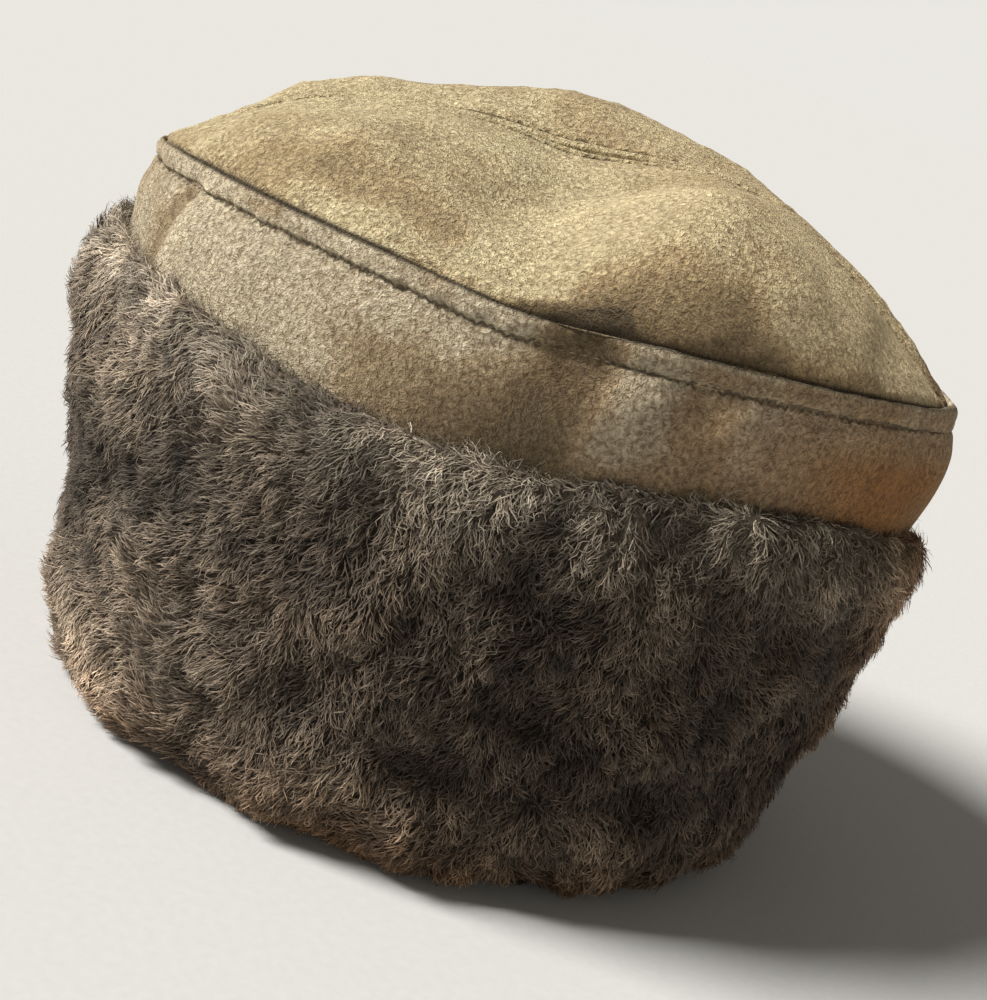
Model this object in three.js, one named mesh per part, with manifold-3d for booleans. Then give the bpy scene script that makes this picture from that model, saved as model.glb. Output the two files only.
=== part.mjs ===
// A suede hat with a deep fur cuff that is turned up all the way round.
// Millimetres, +Z up, the front of the hat towards +X. The hat stands on the
// flat underside of its cuff at z = 0, and the origin is the middle of its
// footprint box. The head hollow is open downwards.

import * as THREE from 'three';
import { mergeVertices } from 'three/addons/utils/BufferGeometryUtils.js';
import Module from 'manifold-3d';

// Sizes of the suede body
const HEAD_LENGTH = 206; // head hollow at the rim, front to back
const HEAD_WIDTH = 172; // head hollow at the rim, side to side
const CROWN_LENGTH = 258; // seam round the crown, front to back
const CROWN_WIDTH = 208; // seam round the crown, side to side
const CROWN_FORWARD = 1.5; // middle of the crown in front of the head hollow's
const SEAM_HEIGHT = 168; // seam round the crown above the floor
const TIP_DROP = 5; // how far that seam sinks at the front and back tips
const SIDE_DIP = 2; // its dip on the right side, below the dent
const CROWN_RISE = 38; // top of the centre seam above the seam round the crown
const SUEDE_WALL = 2.4; // sheepskin, suede side out
const RIDGE_HEIGHT = 6.2; // turned-in top edge of the side band
const RIDGE_PROUD = 1.8; // how far that edge stands out past the seam
const BAND_BULGE = 5.2; // how far the side band swells below its edge
const FOLD_DEPTH = 3.6; // deepest upright fold of the side band
const STRIP_WIDTH = 2; // each half of the pressed-open centre seam
const STRIP_PROUD = 0.5; // how far that strip stands up

// Sizes of the fur cuff
const CUFF_HEIGHT = 134; // turned-up cuff above the floor
const FUR_DEPTH = 14.5; // skin and pile together, halfway up
const BACK_FULLNESS = 0.8; // more depth at the back, less at the front
const RIM_HEIGHT = 5; // fur under the lower edge of the suede body
const RIM_BEVEL = 1.5; // rounded inner corner of that fur
const LOCK_LENGTH = 42; // one lock of fur, root to tip
const LOCK_WIDTH = 30; // one lock of fur, across
const LOCK_THICKNESS = 7; // one lock of fur at its middle
const LOCK_LIFT = 2.8; // tip of a lock above the pile

// Clearances: sewn edges, and the cuff standing off the side band
const SEWN_GAP = 0.3;
const CUFF_EASE = 0.7;

// Outlines from above: 2 is an ellipse, less is more pointed at the tips
const CROWN_ROUNDNESS = 1.75;
const HEAD_ROUNDNESS = 2.1;

// Steps of the faceted solids
const ROUND_STEPS = 56;
const ACROSS_STEPS = 7;
const DEGREE = Math.PI / 180;
const HALF_TURN = 180;
const FULL_TURN = 360;
const MERGE_DISTANCE = 1e-4; // points nearer than this are one

// Height and shape of the crown, from the back tip to the front tip.
// along: share of half the crown length. rise: height of the centre seam, as a
// share of CROWN_RISE. squareness: how long the dome stays high before it
// falls to the outer seam, 2 is round.
const CROWN_LINE = [
  { along: -1, rise: 0, squareness: 2 },
  { along: -0.86, rise: 0.23, squareness: 2 },
  { along: -0.7, rise: 0.5, squareness: 2.1 },
  { along: -0.5, rise: 0.72, squareness: 2.2 },
  { along: -0.3, rise: 0.81, squareness: 2.2 },
  { along: -0.1, rise: 0.83, squareness: 2.3 },
  { along: 0.1, rise: 0.92, squareness: 2.5 },
  { along: 0.3, rise: 1, squareness: 2.9 },
  { along: 0.45, rise: 0.93, squareness: 3.1 },
  { along: 0.6, rise: 0.73, squareness: 3 },
  { along: 0.75, rise: 0.47, squareness: 2.6 },
  { along: 0.9, rise: 0.18, squareness: 2.2 },
  { along: 1, rise: 0, squareness: 2 },
];

// Dents and swellings of the crown's two halves. along and across: place, as
// shares from the middle to the tip and from the centre seam to the outer
// seam. long and wide: reach, in the same shares. turn: degrees that the long
// way leans towards the outer seam. lift: share of CROWN_RISE.
const CROWN_DENTS = {
  right: [
    { name: 'dent', along: -0.04, across: 0.58, long: 0.45, wide: 0.19, turn: 112, lift: -0.3 },
    { name: 'valley', along: -0.36, across: 0.45, long: 0.3, wide: 0.12, turn: 35, lift: -0.08 },
    { name: 'back swelling', along: -0.55, across: 0.62, long: 0.24, wide: 0.3, turn: 0, lift: 0.08 },
    { name: 'front swelling', along: 0.36, across: 0.62, long: 0.26, wide: 0.36, turn: 0, lift: 0.16 },
    { name: 'pinch', along: 0, across: 0.88, long: 0.12, wide: 0.12, turn: 0, lift: -0.14 },
  ],
  left: [
    { name: 'back swelling', along: -0.72, across: 0.42, long: 0.2, wide: 0.36, turn: 0, lift: 0.22 },
    { name: 'top swelling', along: -0.07, across: 0.42, long: 0.3, wide: 0.36, turn: 0, lift: 0.4 },
    { name: 'front swelling', along: 0.8, across: 0.4, long: 0.14, wide: 0.4, turn: 0, lift: 0.07 },
    { name: 'side dent', along: -0.16, across: 0.8, long: 0.16, wide: 0.2, turn: 0, lift: -0.12 },
  ],
};
const SIDEWAYS = { right: -1, left: 1 }; // direction of each half along Y

// Shares of the crown's half width or length over which its forms fade in
const DENT_START = 0.15; // dents, beside the centre seam and at the tips
const DENT_END = 0.08; // dents, beside the outer seam
const DIP_REACH = 0.17; // dip of the outer seam, to each side
const TIP_SHARPNESS = 6; // how late the outer seam sinks towards its tips
const DOME_STEEPNESS = 0.62; // below 1 the dome meets the outer seam steeply
const STRIP_LIMIT = 0.12; // widest that the seam strip may be near the tips
const STRIP_SLOPE = 1.6; // outer foot of the strip, in strip widths

// Turned-in top edge of the side band, from the groove at the seam downwards.
// down: share of RIDGE_HEIGHT. out: share of RIDGE_PROUD.
const RIDGE_SECTIONS = [
  { down: -0.12, out: 0.45 },
  { down: 0.02, out: 0.88 },
  { down: 0.4, out: 1 },
  { down: 0.8, out: 0.86 },
  { down: 1, out: 0.5 },
];

// Side band below its edge. down: share of the band height.
// flare: 1 at the crown outline, 0 at the head outline. out: share of BAND_BULGE.
// lining: whether the inner face has a section there too.
const BAND_SECTIONS = [
  { down: 0.055, flare: 1, out: 0.45, lining: true },
  { down: 0.085, flare: 1, out: 0.8, lining: false },
  { down: 0.13, flare: 1, out: 1, lining: true },
  { down: 0.19, flare: 0.99, out: 0.95, lining: false },
  { down: 0.26, flare: 0.96, out: 0.8, lining: true },
  { down: 0.34, flare: 0.91, out: 0.6, lining: false },
  { down: 0.5, flare: 0.74, out: 0.35, lining: true },
  { down: 0.72, flare: 0.42, out: 0.12, lining: true },
  { down: 1, flare: 0, out: 0, lining: true },
];

// Upright folds of the side band. around: degrees from the front, the right
// side is 270. reach: degrees. depth: share of FOLD_DEPTH, negative inwards.
const BAND_FOLDS = [
  { name: 'back crease', around: 203, reach: 3.5, depth: -0.8 },
  { name: 'back puff', around: 213, reach: 6, depth: 0.5 },
  { name: 'middle hollow', around: 268, reach: 7, depth: -1 },
  { name: 'middle puff', around: 282, reach: 7, depth: 0.35 },
  { name: 'front crease', around: 314, reach: 4, depth: -0.45 },
  { name: 'front puff', around: 330, reach: 9, depth: 0.3 },
  { name: 'left hollow', around: 80, reach: 8, depth: -0.7 },
  { name: 'left crease', around: 130, reach: 5, depth: -0.5 },
  { name: 'tip crease', around: 27, reach: 5, depth: -0.5 },
];
const FOLD_END = 0.33; // share of the band height where the folds run out

// Outer face of the cuff, from its flat underside to its crest.
// up: share of the cuff height. pile: share of FUR_DEPTH.
const CUFF_SECTIONS = [
  { up: 0, pile: 0.46 },
  { up: 0.02, pile: 0.86 },
  { up: 0.07, pile: 1.16 },
  { up: 0.16, pile: 1.26 },
  { up: 0.4, pile: 1.15 },
  { up: 0.65, pile: 1.04 },
  { up: 0.83, pile: 0.87 },
  { up: 0.94, pile: 0.6 },
  { up: 0.985, pile: 0.4 },
  { up: 1, pile: 0.14 },
];

// Height of the cuff round the hat. around: degrees from the front.
// height: share of CUFF_HEIGHT.
const CUFF_EDGE = [
  { around: 0, height: 0.91 },
  { around: 40, height: 0.98 },
  { around: 90, height: 0.99 },
  { around: 140, height: 1.02 },
  { around: 180, height: 1.04 },
  { around: 220, height: 1.02 },
  { around: 250, height: 0.975 },
  { around: 270, height: 0.965 },
  { around: 292, height: 1 },
  { around: 315, height: 1.01 },
  { around: 335, height: 0.97 },
  { around: 360, height: 0.91 },
];

const CUFF_COVERS = 0.3; // share of the band height that stays above the cuff

// Rows of locks. up: height of the roots as a share of the cuff height.
// lean: degrees from straight down towards the back. length, width: shares of a
// whole lock.
const LOCK_ROWS = [
  { up: 0.86, lean: 104, length: 0.8, width: 0.75 },
  { up: 0.74, lean: 60, length: 1, width: 1 },
  { up: 0.55, lean: 44, length: 1, width: 1 },
  { up: 0.37, lean: 34, length: 1, width: 1 },
  { up: 0.21, lean: 24, length: 0.65, width: 0.95 },
];
const LOCKS_ROUND = 18;
const LOCK_SEED = 41;
const LOCK_CORNERS = 5;
const LOCK_FIRST_CORNER = 0.25; // share of a corner's turn

// Differences from lock to lock
const LOCK_LEAN_SPREAD = 34; // degrees
const LOCK_STAGGER_SPREAD = 0.5; // share of the step from lock to lock
const LOCK_ROOT_SPREAD = 0.04; // share of the cuff height
const LOCK_SIZE_SPREAD = 0.3; // share of a whole lock

// Heights that the locks keep between, as shares of the cuff height
const LOCK_LOWEST = 0.03;
const LOCK_HIGHEST = 0.99;

// Sections of one lock. along: share of its length. width and thickness:
// shares of its whole size. rise: share of LOCK_LIFT.
const LOCK_SECTIONS = [
  { along: 0, width: 0.5, thickness: 0.6, rise: -0.7 },
  { along: 0.45, width: 1, thickness: 1, rise: -0.1 },
];

// Value of one column of a table between its rows, on a smooth curve
function readTable(rows, key, at, column) {
  const last = rows.length - 1;
  let i = 0;
  while (i < last - 1 && rows[i + 1][key] < at) {
    i += 1;
  }
  const slope = (j) => {
    const before = rows[Math.max(j - 1, 0)];
    const after = rows[Math.min(j + 1, last)];
    return (after[column] - before[column]) / (after[key] - before[key]);
  };
  const span = rows[i + 1][key] - rows[i][key];
  const t = THREE.MathUtils.clamp((at - rows[i][key]) / span, 0, 1);
  const start = (2 * t - 3) * t * t + 1;
  const startSlope = (t * t - 2 * t + 1) * t;
  const endSlope = (t - 1) * t * t;
  return start * rows[i][column] + (1 - start) * rows[i + 1][column]
    + span * (startSlope * slope(i) + endSlope * slope(i + 1));
}

// Smooth hump of height 1 at distance 0 that fades out past its reach
function hump(distance, reach) {
  return Math.exp(-((distance / reach) ** 2));
}

// Point of a rounded outline seen from above
function ovalPoint(around, halfLength, halfWidth, roundness) {
  const c = Math.cos(around * DEGREE);
  const s = Math.sin(around * DEGREE);
  const bend = 2 / roundness;
  return {
    x: halfLength * Math.sign(c) * Math.abs(c) ** bend,
    y: halfWidth * Math.sign(s) * Math.abs(s) ** bend,
  };
}

// Closed geometry from points and faces, with its faces pointing out
function closedGeometry(points, triangles) {
  let volume = 0;
  for (const [a, b, c] of triangles) {
    volume += points[a].dot(points[b].clone().cross(points[c]));
  }
  const index = volume > 0 ? triangles.flat() : triangles.map(([a, b, c]) => [a, c, b]).flat();
  const loose = new THREE.BufferGeometry();
  loose.setAttribute('position', new THREE.Float32BufferAttribute(points.flatMap((p) => p.toArray()), 3));
  loose.setIndex(index);
  return withoutSlivers(mergeVertices(loose, MERGE_DISTANCE));
}

// The same geometry without the faces that have shrunk to a line
function withoutSlivers(geometry) {
  const old = geometry.getIndex().array;
  const kept = [];
  for (let i = 0; i < old.length; i += 3) {
    const [a, b, c] = [old[i], old[i + 1], old[i + 2]];
    if (a !== b && b !== c && c !== a) {
      kept.push(a, b, c);
    }
  }
  geometry.setIndex(kept);
  geometry.computeVertexNormals();
  return geometry;
}

// Two triangles between four corners
function quad(a, b, c, d) {
  return [[a, b, c], [a, c, d]];
}

// Ring swept round the hat from one closed section for each step
function ringGeometry(sectionAt) {
  const points = [];
  const triangles = [];
  const size = sectionAt(0).length;
  for (let k = 0; k < ROUND_STEPS; k += 1) {
    points.push(...sectionAt((k * FULL_TURN) / ROUND_STEPS));
    const next = ((k + 1) % ROUND_STEPS) * size;
    for (let j = 0; j < size; j += 1) {
      const m = (j + 1) % size;
      triangles.push(...quad(k * size + j, next + j, next + m, k * size + m));
    }
  }
  return closedGeometry(points, triangles);
}

// Height of the seam round the crown
function seamHeight(side, along) {
  const dip = side === 'right' ? SIDE_DIP * hump(along, DIP_REACH) : 0;
  return SEAM_HEIGHT - TIP_DROP * Math.abs(along) ** TIP_SHARPNESS - dip;
}

// Sum of the dents and swellings at one place of the crown
function dentsAt(side, along, across) {
  let lift = 0;
  for (const dent of CROWN_DENTS[side]) {
    const c = Math.cos(dent.turn * DEGREE);
    const s = Math.sin(dent.turn * DEGREE);
    const longWay = (along - dent.along) * c + (across - dent.across) * s;
    const wideWay = (across - dent.across) * c - (along - dent.along) * s;
    lift += dent.lift * hump(longWay, dent.long) * hump(wideWay, dent.wide);
  }
  const tip = (1 - Math.abs(along)) / DENT_START;
  return lift * Math.min(1, tip, across / DENT_START, (1 - across) / DENT_END);
}

// Point of the crown's outer face. tipwards: degrees from the front tip.
// across: 0 at the centre seam, 1 at the outer seam.
function crownPoint(side, tipwards, across) {
  const halfWidth = (CROWN_WIDTH - SEWN_GAP) / 2;
  const edge = ovalPoint(tipwards, CROWN_LENGTH / 2, halfWidth, CROWN_ROUNDNESS);
  const along = edge.x / (CROWN_LENGTH / 2);
  const squareness = readTable(CROWN_LINE, 'along', along, 'squareness');
  const dome = (1 - across ** squareness) ** DOME_STEEPNESS;
  const rise = readTable(CROWN_LINE, 'along', along, 'rise') * dome + dentsAt(side, along, across);
  const y = SIDEWAYS[side] * (SEWN_GAP / 2 + edge.y * across);
  return new THREE.Vector3(CROWN_FORWARD + edge.x, y, seamHeight(side, along) + CROWN_RISE * rise);
}

// Outward direction of the crown's face, away from its edges
function crownNormal(side, tipwards, across) {
  const turn = 1;
  const step = 0.01;
  const ahead = crownPoint(side, tipwards + turn, across).sub(crownPoint(side, tipwards - turn, across));
  const outside = Math.min(across + step, 1 - step / 2);
  const sideways = crownPoint(side, tipwards, outside).sub(crownPoint(side, tipwards, outside - 2 * step));
  const normal = ahead.cross(sideways).normalize();
  return normal.z < 0 ? normal.negate() : normal;
}

// Places across a crown panel, with how far each stands up
function crownRows(panelWidth) {
  const strip = Math.min(STRIP_WIDTH / panelWidth, STRIP_LIMIT);
  const foot = STRIP_SLOPE * strip;
  const rows = [{ across: 0, proud: 0 }, { across: strip, proud: STRIP_PROUD }, { across: foot, proud: 0 }];
  for (let k = 1; k <= ACROSS_STEPS; k += 1) {
    const share = Math.sin((k / ACROSS_STEPS) * (Math.PI / 2));
    rows.push({ across: foot + (1 - foot) * share, proud: 0 });
  }
  return rows;
}

// Half of the crown, from the centre seam to the seam round the crown
function crownPanel(side) {
  const columns = ROUND_STEPS / 2;
  const straightDown = new THREE.Vector3(0, 0, 1);
  const outer = [];
  const inner = [];
  let size = 0;
  for (let k = 0; k <= columns; k += 1) {
    const tipwards = (k * HALF_TURN) / columns;
    const panelWidth = ovalPoint(tipwards, 1, CROWN_WIDTH / 2, CROWN_ROUNDNESS).y;
    const rows = crownRows(Math.max(panelWidth, STRIP_WIDTH));
    size = rows.length;
    for (const row of rows) {
      const top = crownPoint(side, tipwards, row.across);
      const atEdge = row.across === 0 || row.across === 1 || k === 0 || k === columns;
      const away = atEdge ? straightDown : crownNormal(side, tipwards, row.across);
      inner.push(top.clone().addScaledVector(away, -SUEDE_WALL));
      const strip = k === 0 || k === columns ? 0 : row.proud;
      outer.push(top.setZ(top.z + strip));
    }
  }
  return panelGeometry(outer, inner, columns, size);
}

// Closed wall between an outer and an inner grid of points
function panelGeometry(outer, inner, columns, size) {
  const shift = outer.length;
  const triangles = [];
  for (let k = 0; k < columns; k += 1) {
    for (let j = 0; j < size - 1; j += 1) {
      const [a, b] = [k * size + j, (k + 1) * size + j];
      triangles.push(...quad(a, b, b + 1, a + 1));
      triangles.push(...quad(shift + a + 1, shift + b + 1, shift + b, shift + a));
    }
    const [first, last] = [k * size, k * size + size - 1];
    triangles.push(...quad(first, shift + first, shift + first + size, first + size));
    triangles.push(...quad(last, last + size, shift + last + size, shift + last));
  }
  return closedGeometry([...outer, ...inner], triangles);
}

// Height of the seam round the crown, in a direction round the hat
function seamHeightAround(around) {
  const along = ovalPoint(around, 1, 1, CROWN_ROUNDNESS).x;
  return seamHeight(around > HALF_TURN ? 'right' : 'left', along);
}

// Point on an outline between the head outline and the crown outline
function bodyPoint(around, flare, out, z) {
  const mix = THREE.MathUtils.lerp;
  const headLength = HEAD_LENGTH / 2 + SUEDE_WALL;
  const headWidth = HEAD_WIDTH / 2 + SUEDE_WALL;
  const spot = ovalPoint(
    around,
    mix(headLength, CROWN_LENGTH / 2, flare) + out,
    mix(headWidth, CROWN_WIDTH / 2, flare) + out,
    mix(HEAD_ROUNDNESS, CROWN_ROUNDNESS, flare),
  );
  return new THREE.Vector3(flare * CROWN_FORWARD + spot.x, spot.y, z);
}

// How far the folds push the side band out at one place
function foldAt(around, down) {
  if (down >= FOLD_END) {
    return 0;
  }
  let push = 0;
  for (const fold of BAND_FOLDS) {
    push += fold.depth * hump(around - fold.around, fold.reach);
  }
  return FOLD_DEPTH * push * Math.sin((down / FOLD_END) * Math.PI);
}

// Height of one row of the side band
function bandHeight(around, down) {
  return THREE.MathUtils.lerp(seamHeightAround(around), RIM_HEIGHT + SEWN_GAP, down);
}

// Point of the side band, extra millimetres outside its suede face
function bandPoint(around, row, extra) {
  const out = row.out * BAND_BULGE + foldAt(around, row.down) + extra;
  return bodyPoint(around, row.flare, out, bandHeight(around, row.down));
}

// Section of the side band: outer face down, then inner face up
function bandSection(around) {
  const top = seamHeightAround(around);
  const edge = RIDGE_SECTIONS.map((row) => (
    bodyPoint(around, 1, SEWN_GAP + row.out * RIDGE_PROUD, top - row.down * RIDGE_HEIGHT)
  ));
  const lining = BAND_SECTIONS.filter((row) => row.lining).reverse();
  return [
    bodyPoint(around, 1, SEWN_GAP, top),
    ...edge,
    ...BAND_SECTIONS.map((row) => bandPoint(around, row, 0)),
    ...lining.map((row) => bandPoint(around, row, -SUEDE_WALL)),
    bodyPoint(around, 1, SEWN_GAP, top - SUEDE_WALL),
  ];
}

// Height of the cuff's crest
function cuffTop(around) {
  return CUFF_HEIGHT * readTable(CUFF_EDGE, 'around', around, 'height');
}

// Point of the cuff's outer face. up: share of its height there.
function cuffFace(around, up) {
  const z = up * cuffTop(around);
  const down = (seamHeightAround(around) - z) / (seamHeightAround(around) - RIM_HEIGHT - SEWN_GAP);
  const flare = readTable(BAND_SECTIONS, 'down', down, 'flare');
  const bulge = BAND_BULGE * readTable(BAND_SECTIONS, 'down', down, 'out');
  const fullness = FUR_DEPTH - BACK_FULLNESS * Math.cos(around * DEGREE);
  const pile = fullness * readTable(CUFF_SECTIONS, 'up', up, 'pile');
  return bodyPoint(around, flare, bulge + CUFF_EASE + pile, z);
}

// Section of the cuff before its inside is cut out: outer face up, inside
// down, then the rim under the suede body
function cuffSection(around) {
  const covered = BAND_SECTIONS.filter((row) => row.down > CUFF_COVERS);
  const top = bodyPoint(around, 1, -SUEDE_WALL, cuffTop(around));
  return [
    ...CUFF_SECTIONS.map((row) => cuffFace(around, row.up)),
    top,
    ...covered.map((row) => bandPoint(around, row, -SUEDE_WALL)),
    bodyPoint(around, 0, -SUEDE_WALL, RIM_BEVEL),
    bodyPoint(around, 0, RIM_BEVEL - SUEDE_WALL, 0),
  ];
}

// Room for the suede body inside the cuff
function bodyRoom() {
  const points = [];
  const triangles = [];
  const rows = [...BAND_SECTIONS].reverse();
  const levels = rows.length;
  for (let k = 0; k < ROUND_STEPS; k += 1) {
    const around = (k * FULL_TURN) / ROUND_STEPS;
    const next = ((k + 1) % ROUND_STEPS) * levels;
    points.push(...rows.map((row) => bandPoint(around, row, CUFF_EASE)));
    points[k * levels].setZ(RIM_HEIGHT);
    for (let j = 0; j < levels - 1; j += 1) {
      triangles.push(...quad(k * levels + j, next + j, next + j + 1, k * levels + j + 1));
    }
  }
  const [bottom, top] = [points.length, points.length + 1];
  points.push(new THREE.Vector3(0, 0, RIM_HEIGHT), new THREE.Vector3(0, 0, SEAM_HEIGHT));
  for (let k = 0; k < ROUND_STEPS; k += 1) {
    const next = ((k + 1) % ROUND_STEPS) * levels;
    triangles.push([bottom, next, k * levels]);
    triangles.push([top, k * levels + levels - 1, next + levels - 1]);
  }
  return closedGeometry(points, triangles);
}

// Repeatable numbers from -0.5 to 0.5
function seededSpread(seed) {
  const multiplier = 16807;
  const modulus = 2147483647;
  let state = seed;
  return () => {
    state = (state * multiplier) % modulus;
    return state / modulus - 0.5;
  };
}

// Place on the cuff reached from a root by going along the lay of the fur
function alongFur(root, distance) {
  const radius = (CROWN_LENGTH + CROWN_WIDTH) / 4;
  const backwards = root.around > HALF_TURN ? -1 : 1;
  const turn = (backwards * Math.sin(root.lean * DEGREE) * distance) / radius / DEGREE;
  const up = root.up - (Math.cos(root.lean * DEGREE) * distance) / CUFF_HEIGHT;
  return {
    around: (root.around + turn + FULL_TURN) % FULL_TURN,
    up: THREE.MathUtils.clamp(up, LOCK_LOWEST, LOCK_HIGHEST),
  };
}

// Position, outward direction and cross direction on the cuff's face
function furFrame(root, distance) {
  const step = 0.02;
  const here = alongFur(root, distance);
  const next = alongFur(root, distance + 1);
  const point = cuffFace(here.around, here.up);
  const ahead = cuffFace(next.around, next.up).sub(point).normalize();
  const round = cuffFace((here.around + 1) % FULL_TURN, here.up).sub(point);
  const upward = cuffFace(here.around, Math.min(here.up + step, 1)).sub(point);
  const outward = round.cross(upward).normalize();
  const sideways = ahead.cross(outward).normalize();
  return { point, outward, sideways };
}

// One pointed lock of fur that lies on the cuff
function lockGeometry(root, length, width) {
  const points = [];
  const triangles = [];
  for (const section of LOCK_SECTIONS) {
    const { point, outward, sideways } = furFrame(root, section.along * length);
    for (let k = 0; k < LOCK_CORNERS; k += 1) {
      const turn = ((k + LOCK_FIRST_CORNER) * FULL_TURN * DEGREE) / LOCK_CORNERS;
      const across = (Math.cos(turn) * section.width * width) / 2;
      const height = (Math.sin(turn) * section.thickness * LOCK_THICKNESS) / 2 + section.rise * LOCK_LIFT;
      points.push(point.clone().addScaledVector(sideways, across).addScaledVector(outward, height));
    }
  }
  const tip = furFrame(root, length);
  points.push(tip.point.addScaledVector(tip.outward, LOCK_LIFT));
  for (let k = 0; k < LOCK_CORNERS; k += 1) {
    const m = (k + 1) % LOCK_CORNERS;
    triangles.push(...quad(k, m, m + LOCK_CORNERS, k + LOCK_CORNERS));
    triangles.push([k + LOCK_CORNERS, m + LOCK_CORNERS, 2 * LOCK_CORNERS]);
    if (k > 0 && m > 0) {
      triangles.push([0, m, k]);
    }
  }
  return closedGeometry(points, triangles);
}

// Every lock of the cuff, in staggered rows
function lockGeometries() {
  const spread = seededSpread(LOCK_SEED);
  const locks = [];
  LOCK_ROWS.forEach((row, i) => {
    for (let k = 0; k < LOCKS_ROUND; k += 1) {
      const stagger = (i % 2) / 2 + LOCK_STAGGER_SPREAD * spread();
      const root = {
        around: (((k + stagger) * FULL_TURN) / LOCKS_ROUND + FULL_TURN) % FULL_TURN,
        up: row.up + LOCK_ROOT_SPREAD * spread(),
        lean: row.lean + LOCK_LEAN_SPREAD * spread(),
      };
      const size = 1 + LOCK_SIZE_SPREAD * spread();
      locks.push(lockGeometry(root, row.length * size * LOCK_LENGTH, row.width * size * LOCK_WIDTH));
    }
  });
  return locks;
}

const wasm = await Module();
wasm.setup();

// Solid for joining and cutting, from a closed geometry
function toSolid(geometry) {
  const bare = geometry.clone();
  bare.deleteAttribute('normal');
  const merged = mergeVertices(bare, MERGE_DISTANCE);
  return new wasm.Manifold(new wasm.Mesh({
    numProp: 3,
    vertProperties: new Float32Array(merged.getAttribute('position').array),
    triVerts: new Uint32Array(merged.getIndex().array),
  }));
}

// Geometry from a joined or cut solid
function toGeometry(solid) {
  const mesh = solid.getMesh();
  const geometry = new THREE.BufferGeometry();
  geometry.setAttribute('position', new THREE.Float32BufferAttribute(mesh.vertProperties, 3));
  geometry.setIndex(Array.from(mesh.triVerts));
  geometry.computeVertexNormals();
  return geometry;
}

// Block that fills everything under the floor
function underFloor() {
  const size = 2 * CROWN_LENGTH;
  const block = new THREE.BoxGeometry(size, size, CUFF_HEIGHT);
  block.translate(0, 0, -CUFF_HEIGHT / 2);
  block.deleteAttribute('uv');
  return block;
}

// The solid's main body, with the air pockets that its locks close off filled
function withoutPockets(solid) {
  return solid.decompose().reduce((most, body) => (body.volume() > most.volume() ? body : most));
}

// Fur cuff: dense pile on its skin, with the locks that stand out of it
function cuffGeometry() {
  let solid = toSolid(ringGeometry(cuffSection));
  for (const lock of lockGeometries()) {
    solid = solid.add(toSolid(lock));
  }
  solid = solid.subtract(toSolid(bodyRoom())).subtract(toSolid(underFloor()));
  return toGeometry(withoutPockets(solid));
}

// Named piece with its own finish
function piece(name, geometry, color, roughness) {
  const material = new THREE.MeshStandardMaterial({ color, roughness, metalness: 0 });
  const mesh = new THREE.Mesh(geometry, material);
  mesh.name = name;
  return mesh;
}

const hat = new THREE.Group();
hat.add(piece('crown_panel_right', crownPanel('right'), '#9a8862', 0.92));
hat.add(piece('crown_panel_left', crownPanel('left'), '#a08e68', 0.92));
hat.add(piece('side_band', ringGeometry(bandSection), '#93815d', 0.92));
hat.add(piece('fur_cuff', cuffGeometry(), '#453d36', 1));

// The origin is under the middle of the hat's box
const box = new THREE.Box3().setFromObject(hat);
const middle = box.getCenter(new THREE.Vector3());
hat.position.set(-middle.x, -middle.y, -box.min.z);

export default hat;
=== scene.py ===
# A suede hat with a deep fur cuff, dressed round its solids.
# Metres, +Z up, the front of the hat towards +X. Every random draw has a fixed seed.

import math

import bmesh
import bpy
import numpy as np
from mathutils import Matrix, Vector
from mathutils.bvhtree import BVHTree
from mathutils.kdtree import KDTree


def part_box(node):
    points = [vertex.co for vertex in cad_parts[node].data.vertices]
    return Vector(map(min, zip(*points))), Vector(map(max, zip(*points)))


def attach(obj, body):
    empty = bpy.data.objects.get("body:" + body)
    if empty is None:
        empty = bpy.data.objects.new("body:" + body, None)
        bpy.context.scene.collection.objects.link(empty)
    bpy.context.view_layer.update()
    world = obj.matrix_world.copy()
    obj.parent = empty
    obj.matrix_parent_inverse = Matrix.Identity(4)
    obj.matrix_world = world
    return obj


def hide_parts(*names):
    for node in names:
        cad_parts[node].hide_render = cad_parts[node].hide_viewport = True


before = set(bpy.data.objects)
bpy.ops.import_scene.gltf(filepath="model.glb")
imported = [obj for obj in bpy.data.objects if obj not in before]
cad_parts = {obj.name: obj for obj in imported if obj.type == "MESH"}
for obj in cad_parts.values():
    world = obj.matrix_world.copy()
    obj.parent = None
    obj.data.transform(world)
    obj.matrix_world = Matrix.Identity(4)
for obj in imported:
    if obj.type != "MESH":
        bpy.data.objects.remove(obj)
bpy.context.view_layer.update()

MM = 0.001

# Camera, at the photograph's angle: degrees, metres, and millimetres of lens and sensor
CAMERA_AZIMUTH = 2.11
CAMERA_ELEVATION = 17.84
CAMERA_ROLL = 18.81
CAMERA_DISTANCE = 0.52946
CAMERA_LENS = 57.93
CAMERA_SENSOR = 36
CAMERA_AIM = Vector((0.0081, -0.0003, 0.0837))

# Places worked out from the solids
RIGHT_LOW, RIGHT_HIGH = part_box("crown_panel_right")
LEFT_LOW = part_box("crown_panel_left")[0]
BAND_LOW, BAND_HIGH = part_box("side_band")
CUFF_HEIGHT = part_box("fur_cuff")[1].z
CROWN_MIDDLE = (RIGHT_LOW.x + RIGHT_HIGH.x) / 2
CROWN_HALF_LENGTH = (RIGHT_HIGH.x - RIGHT_LOW.x) / 2
SEAM_Y = (RIGHT_HIGH.y + LEFT_LOW.y) / 2
CROWN_HALF_WIDTH = SEAM_Y - RIGHT_LOW.y
BAND_RADIUS = (BAND_HIGH.x - BAND_LOW.x + BAND_HIGH.y - BAND_LOW.y) / 4
INSIDE = Vector((CROWN_MIDDLE, SEAM_Y, CUFF_HEIGHT))


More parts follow.
